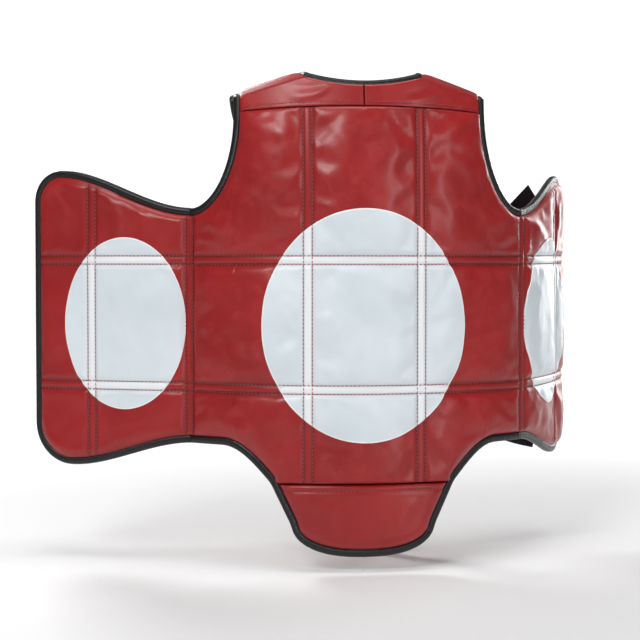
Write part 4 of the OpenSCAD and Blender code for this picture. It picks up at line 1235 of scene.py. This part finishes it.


# deep, light, painted shade for the grooves, worn, painted shade for the needle holes
reds = ((0.270, 0.006, 0.007), (0.345, 0.010, 0.011), (0.09, 0.003, 0.004), (0.42, 0.03, 0.03),
        (0.035, 0.002, 0.002))
chestColumns, wingColumns = (panel["column"], panel["fold"]), (0.0, wingSet["line"])
redLeather = leather("redLeather", *reds, 0.37)
redLining = leather("redLining", *reds, 0.38)
redChest = leather("redChestLeather", *reds, 0.37, chestColumns)
redWing = leather("redWingLeather", *reds, 0.37, wingColumns)
liningChest = leather("redChestLining", *reds, 0.37, chestColumns)
liningWing = leather("redWingLining", *reds, 0.37, wingColumns)
# the bar colour is a painted highlight and the groove colour is painted shade
whites = {"deep": (0.63, 0.70, 0.745), "light": (0.71, 0.775, 0.815), "bar": (0.82, 0.85, 0.87),
          "grooveShade": (0.44, 0.40, 0.42), "rim": (0.86, 0.86, 0.86)}


def targetMaterial():
    # white vinyl: a painted highlight on the raised bars, paler at the cut rim, greyer painted shade in the
    # stitched rows
    material, tree, surface = newMaterial("whiteVinyl", 0.42, Coat_Weight=0.12, Coat_Roughness=0.3)
    grain = placed(tree, grainGroup, Scale=800.0)
    colour = mixColour(tree, ranged(tree, grain["Tone"], 0.35, 0.65, 0, 1), whites["deep"], whites["light"])
    # painted highlight on the bars, painted shade in the stitched rows, paler rim
    for mark in ("bar", "grooveShade", "rim"):
        colour = mixColour(tree, markOf(tree, mark), colour, whites[mark])
    rough = ranged(tree, grain["Rub"], 0.3, 0.7, 0.36, 0.48)
    finished(tree, surface, colour, rough, grain["Height"], 0.22, 0.0002)
    return material


def tape(name, dark, light, roughness, across, along, strength, sheen, gloss):
    # across and along are threads in a metre
    material, tree, surface = newMaterial(name, roughness, Sheen_Weight=sheen, Sheen_Roughness=0.4,
                                          Specular_IOR_Level=gloss)
    weave = placed(tree, weaveGroup, Across=across, Along=along)
    colour = mixColour(tree, ranged(tree, weave["Tone"], 0.3, 0.7, 0, 1), dark, light)
    rough = ranged(tree, weave["Height"], -0.4, 0.9, roughness + 0.1, roughness - 0.08)
    finished(tree, surface, colour, rough, weave["Height"], strength, 0.0003)
    return material


whiteVinyl = targetMaterial()
bindingTape = tape("bindingTape", (0.004, 0.004, 0.005), (0.009, 0.009, 0.011), 0.32,
                   300.0, 1400.0, 0.35, 0.02, 0.42)
ribbedWeb = tape("ribbedWebbing", (0.004, 0.005, 0.006), (0.010, 0.011, 0.013), 0.5,
                 1100.0, 1000.0, 0.6, 0.03, 0.24)
smoothWeb = tape("smoothWebbing", (0.006, 0.007, 0.009), (0.014, 0.017, 0.020), 0.55,
                 1300.0, 1300.0, 0.5, 0.04, 0.2)

redThread, threadTree, threadSurface = newMaterial("redThread", 0.55)
threadNoise = addNode(threadTree, "ShaderNodeTexNoise", Scale=1500.0, Detail=2.0)
vectorTo(threadTree, panelUv(threadTree), threadNoise)
threadColour = mixColour(threadTree, threadNoise.outputs[0], (0.22, 0.02, 0.022), (0.42, 0.07, 0.07))
finished(threadTree, threadSurface, threadColour, None, threadNoise.outputs[0], 0.4, 0.0002)


def paint(piece, material):
    piece.data.materials.clear()
    piece.data.materials.append(material)


# lengths (mm) along a wing from its fold and down from the flap seam, with the points at the folds and at
# those lengths
bend = {"wing": 30, "flap": 16, "strap": 150}
foldAt = {side: wingPoint(side)(0, 0, 0) * mm for side in (-1, 1)}
foldTo = {side: wingPoint(side)(bend["wing"], 0, 0) * mm for side in (-1, 1)}
strapTo = {side: wingPoint(side)(bend["strap"], 0, 0) * mm for side in (-1, 1)}
seamAt = chestPoint(0, panel["flapSeam"], 0) * mm
seamTo = chestPoint(0, panel["flapSeam"] - bend["flap"], 0) * mm


def settle(piece, material, slotName, place, *stands):
    # gives a piece its finish and hides the nodes it stands for; on "root" it is attached to that body,
    # while on "flap", a side for a piece of that wing, or ("strap", side) for one that spans from the knot
    # to that wing, its transform is only baked in
    paint(piece, material)
    if stands:
        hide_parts(*stands)
    if place == "root":
        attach(piece, "root")
    elif place == "flap":
        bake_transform(piece)
    elif isinstance(place, tuple):
        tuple(foldAt[place[1]])
        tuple(strapTo[place[1]])
        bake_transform(piece)
    else:
        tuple(foldAt[place])
        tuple(foldTo[place])
        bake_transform(piece)


foams = [f"foam_{row}_{column}" for row in ("upper", "middle", "lower")
         for column in ("right", "centre", "left")]
settle(covers["chestCover"], redChest, "red_leather", "root", "chest_cover", *foams)
settle(covers["chestLining"], liningChest, "red_lining", "root", "chest_lining")
for side, word in ((-1, "right"), (1, "left")):
    blocks = [f"{word}_foam_{a}_{b}" for a in ("inner", "outer") for b in ("upper", "middle", "lower")]
    settle(covers[word + "WingCover"], redWing, "red_leather", side, word + "_wing_cover", *blocks)
    settle(covers[word + "WingLining"], liningWing, "red_lining", side, word + "_wing_lining")
    settle(bindings[word + "WingBinding"], bindingTape, "binding", side, word + "_wing_binding")
    settle(targets[word + "Target"], whiteVinyl, "white_leather", side, word + "_target")
    settle(threads[word + "WingCover"], redThread, "red_leather", side)
    settle(threads[word + "WingLining"], redThread, "red_lining", side)
    for part in ("Yoke", "Strip"):
        settle(covers[word + part], redLeather, "red_leather", "root", f"{word}_{part.lower()}")
    settle(bindings[word + "StripBinding"], bindingTape, "binding", "root", word + "_strip_binding")
    settle(bindings[word + "ArmholeBinding"], bindingTape, "binding", "root", word + "_armhole_binding")
    for level, finish in (("upper", smoothWeb), ("lower", ribbedWeb)):
        strap = webbing[level + word.title() + "Strap"]
        settle(strap, finish, "webbing", ("strap", side), f"{level}_{word}_strap")
    settle(webbing[word + "Tail"], ribbedWeb, "webbing", "root", word + "_tail")
    settle(webbing[word + "Loop"], ribbedWeb, "webbing", side, word + "_loop")
settle(targets["centreTarget"], whiteVinyl, "white_leather", "root", "centre_target")
for name, slotName, place in (("chestCover", "red_leather", "root"), ("chestLining", "red_lining", "root"),
                              ("yoke", "red_leather", "root"), ("flap", "red_leather", "flap")):
    settle(threads[name], redThread, slotName, place)
settle(covers["flapCover"], redLeather, "red_leather", "flap", "flap_cover", "flap_foam")
settle(covers["flapLining"], redLining, "red_lining", "flap", "flap_lining")
for name, place in (("flap", "flap"), ("hem", "root"), ("neck", "root")):
    settle(bindings[name + "Binding"], bindingTape, "binding", place, name + "_binding")
for name in ("hanging", "folded"):
    settle(webbing[name + "Tail"], smoothWeb, "webbing", "root", name + "_tail")
for name, (wide, ribbed, route) in knotBands.items():
    stands = ["knot"] if name == "knotCore" else []
    settle(webbing[name], ribbedWeb if ribbed else smoothWeb, "webbing", "root", *stands)
tailLine = evenLine(lines["hangingTail"], 6) * mm
float(runOf(tailLine)[-1])

# the studio, in metres: a pale floor that curves up into a round wall
studio = {"floor": -0.2545, "radius": 5.0, "cove": 2.2, "glowFrom": 0.55, "glowOver": 2.6}
q = np.linspace(0, math.pi / 2, 16)[1:]
r = np.concatenate([np.linspace(0.001, studio["radius"], 30), studio["radius"] + studio["cove"] * np.sin(q),
                    np.full(4, studio["radius"] + studio["cove"])])
h = np.concatenate([np.zeros(30), studio["cove"] * (1 - np.cos(q)),
                    studio["cove"] + np.array([1, 2, 3, 4.0])])
rr, aa = np.meshgrid(r, np.linspace(0, full, 97), indexing="ij")
hh = np.broadcast_to(h[:, None], rr.shape)
floorPoints = np.stack([rr * np.cos(aa), rr * np.sin(aa), hh + studio["floor"]], -1).reshape(-1, 3)
far = ease((rr - studio["glowFrom"]) / studio["glowOver"])
floor = buildMesh("studioFloor", floorPoints, gridQuads(*rr.shape), marks={"far": far}, weld=True)
floorMaterial, tree, surface = newMaterial("paleFloor", 0.6, Specular_IOR_Level=0.3, Emission_Strength=0.95)
floorNoise = addNode(tree, "ShaderNodeTexNoise", Scale=3.0, Detail=2.0)
floorColour = mixColour(tree, floorNoise.outputs[0], (0.80, 0.80, 0.80), (0.84, 0.84, 0.84))
fill(tree, surface["Base Color"], floorColour)
lightPath = addNode(tree, "ShaderNodeLightPath")  # the far wall glows for the camera, not in the gloss
glow = times(tree, markOf(tree, "far"), lightPath.outputs["Is Camera Ray"])
fill(tree, surface["Emission Color"], mixColour(tree, glow, (0.0, 0.0, 0.0), (1.0, 1.0, 1.0)))
paint(floor, floorMaterial)


def softbox(name, place, size, watts):
    # a rectangular light, its place and size in metres, turned towards the middle of the object
    data = bpy.data.lights.new(name, "AREA")
    data.shape, data.size, data.size_y, data.energy = "RECTANGLE", size[0], size[1], watts
    lamp = bpy.data.objects.new(name, data)
    lamp.location = place
    lamp.rotation_euler = (Vector((0, 0, 0.02)) - Vector(place)).to_track_quat("-Z", "Y").to_euler()
    bpy.context.collection.objects.link(lamp)


for name, place, size, watts in (("keyLight", (-1.2, -2.2, 1.7), (0.9, 0.9), 40),
                                 ("fillLight", (1.5, -2.4, 0.5), (0.6, 1.5), 15),
                                 ("topLight", (0.1, -0.3, 2.3), (1.4, 0.8), 26),
                                 ("backLight", (-0.9, 2.3, 1.5), (0.9, 0.9), 40),
                                 ("backFill", (1.7, 1.9, 0.5), (0.6, 1.3), 20)):
    softbox(name, place, size, watts)
world = bpy.data.worlds.new("studioWorld")
world.use_nodes = True
sky = world.node_tree.nodes["Background"].inputs
sky["Color"].default_value, sky["Strength"].default_value = (1, 1, 1, 1), 0.16
bpy.context.scene.world = world
bpy.context.scene.view_settings.view_transform = "Standard"
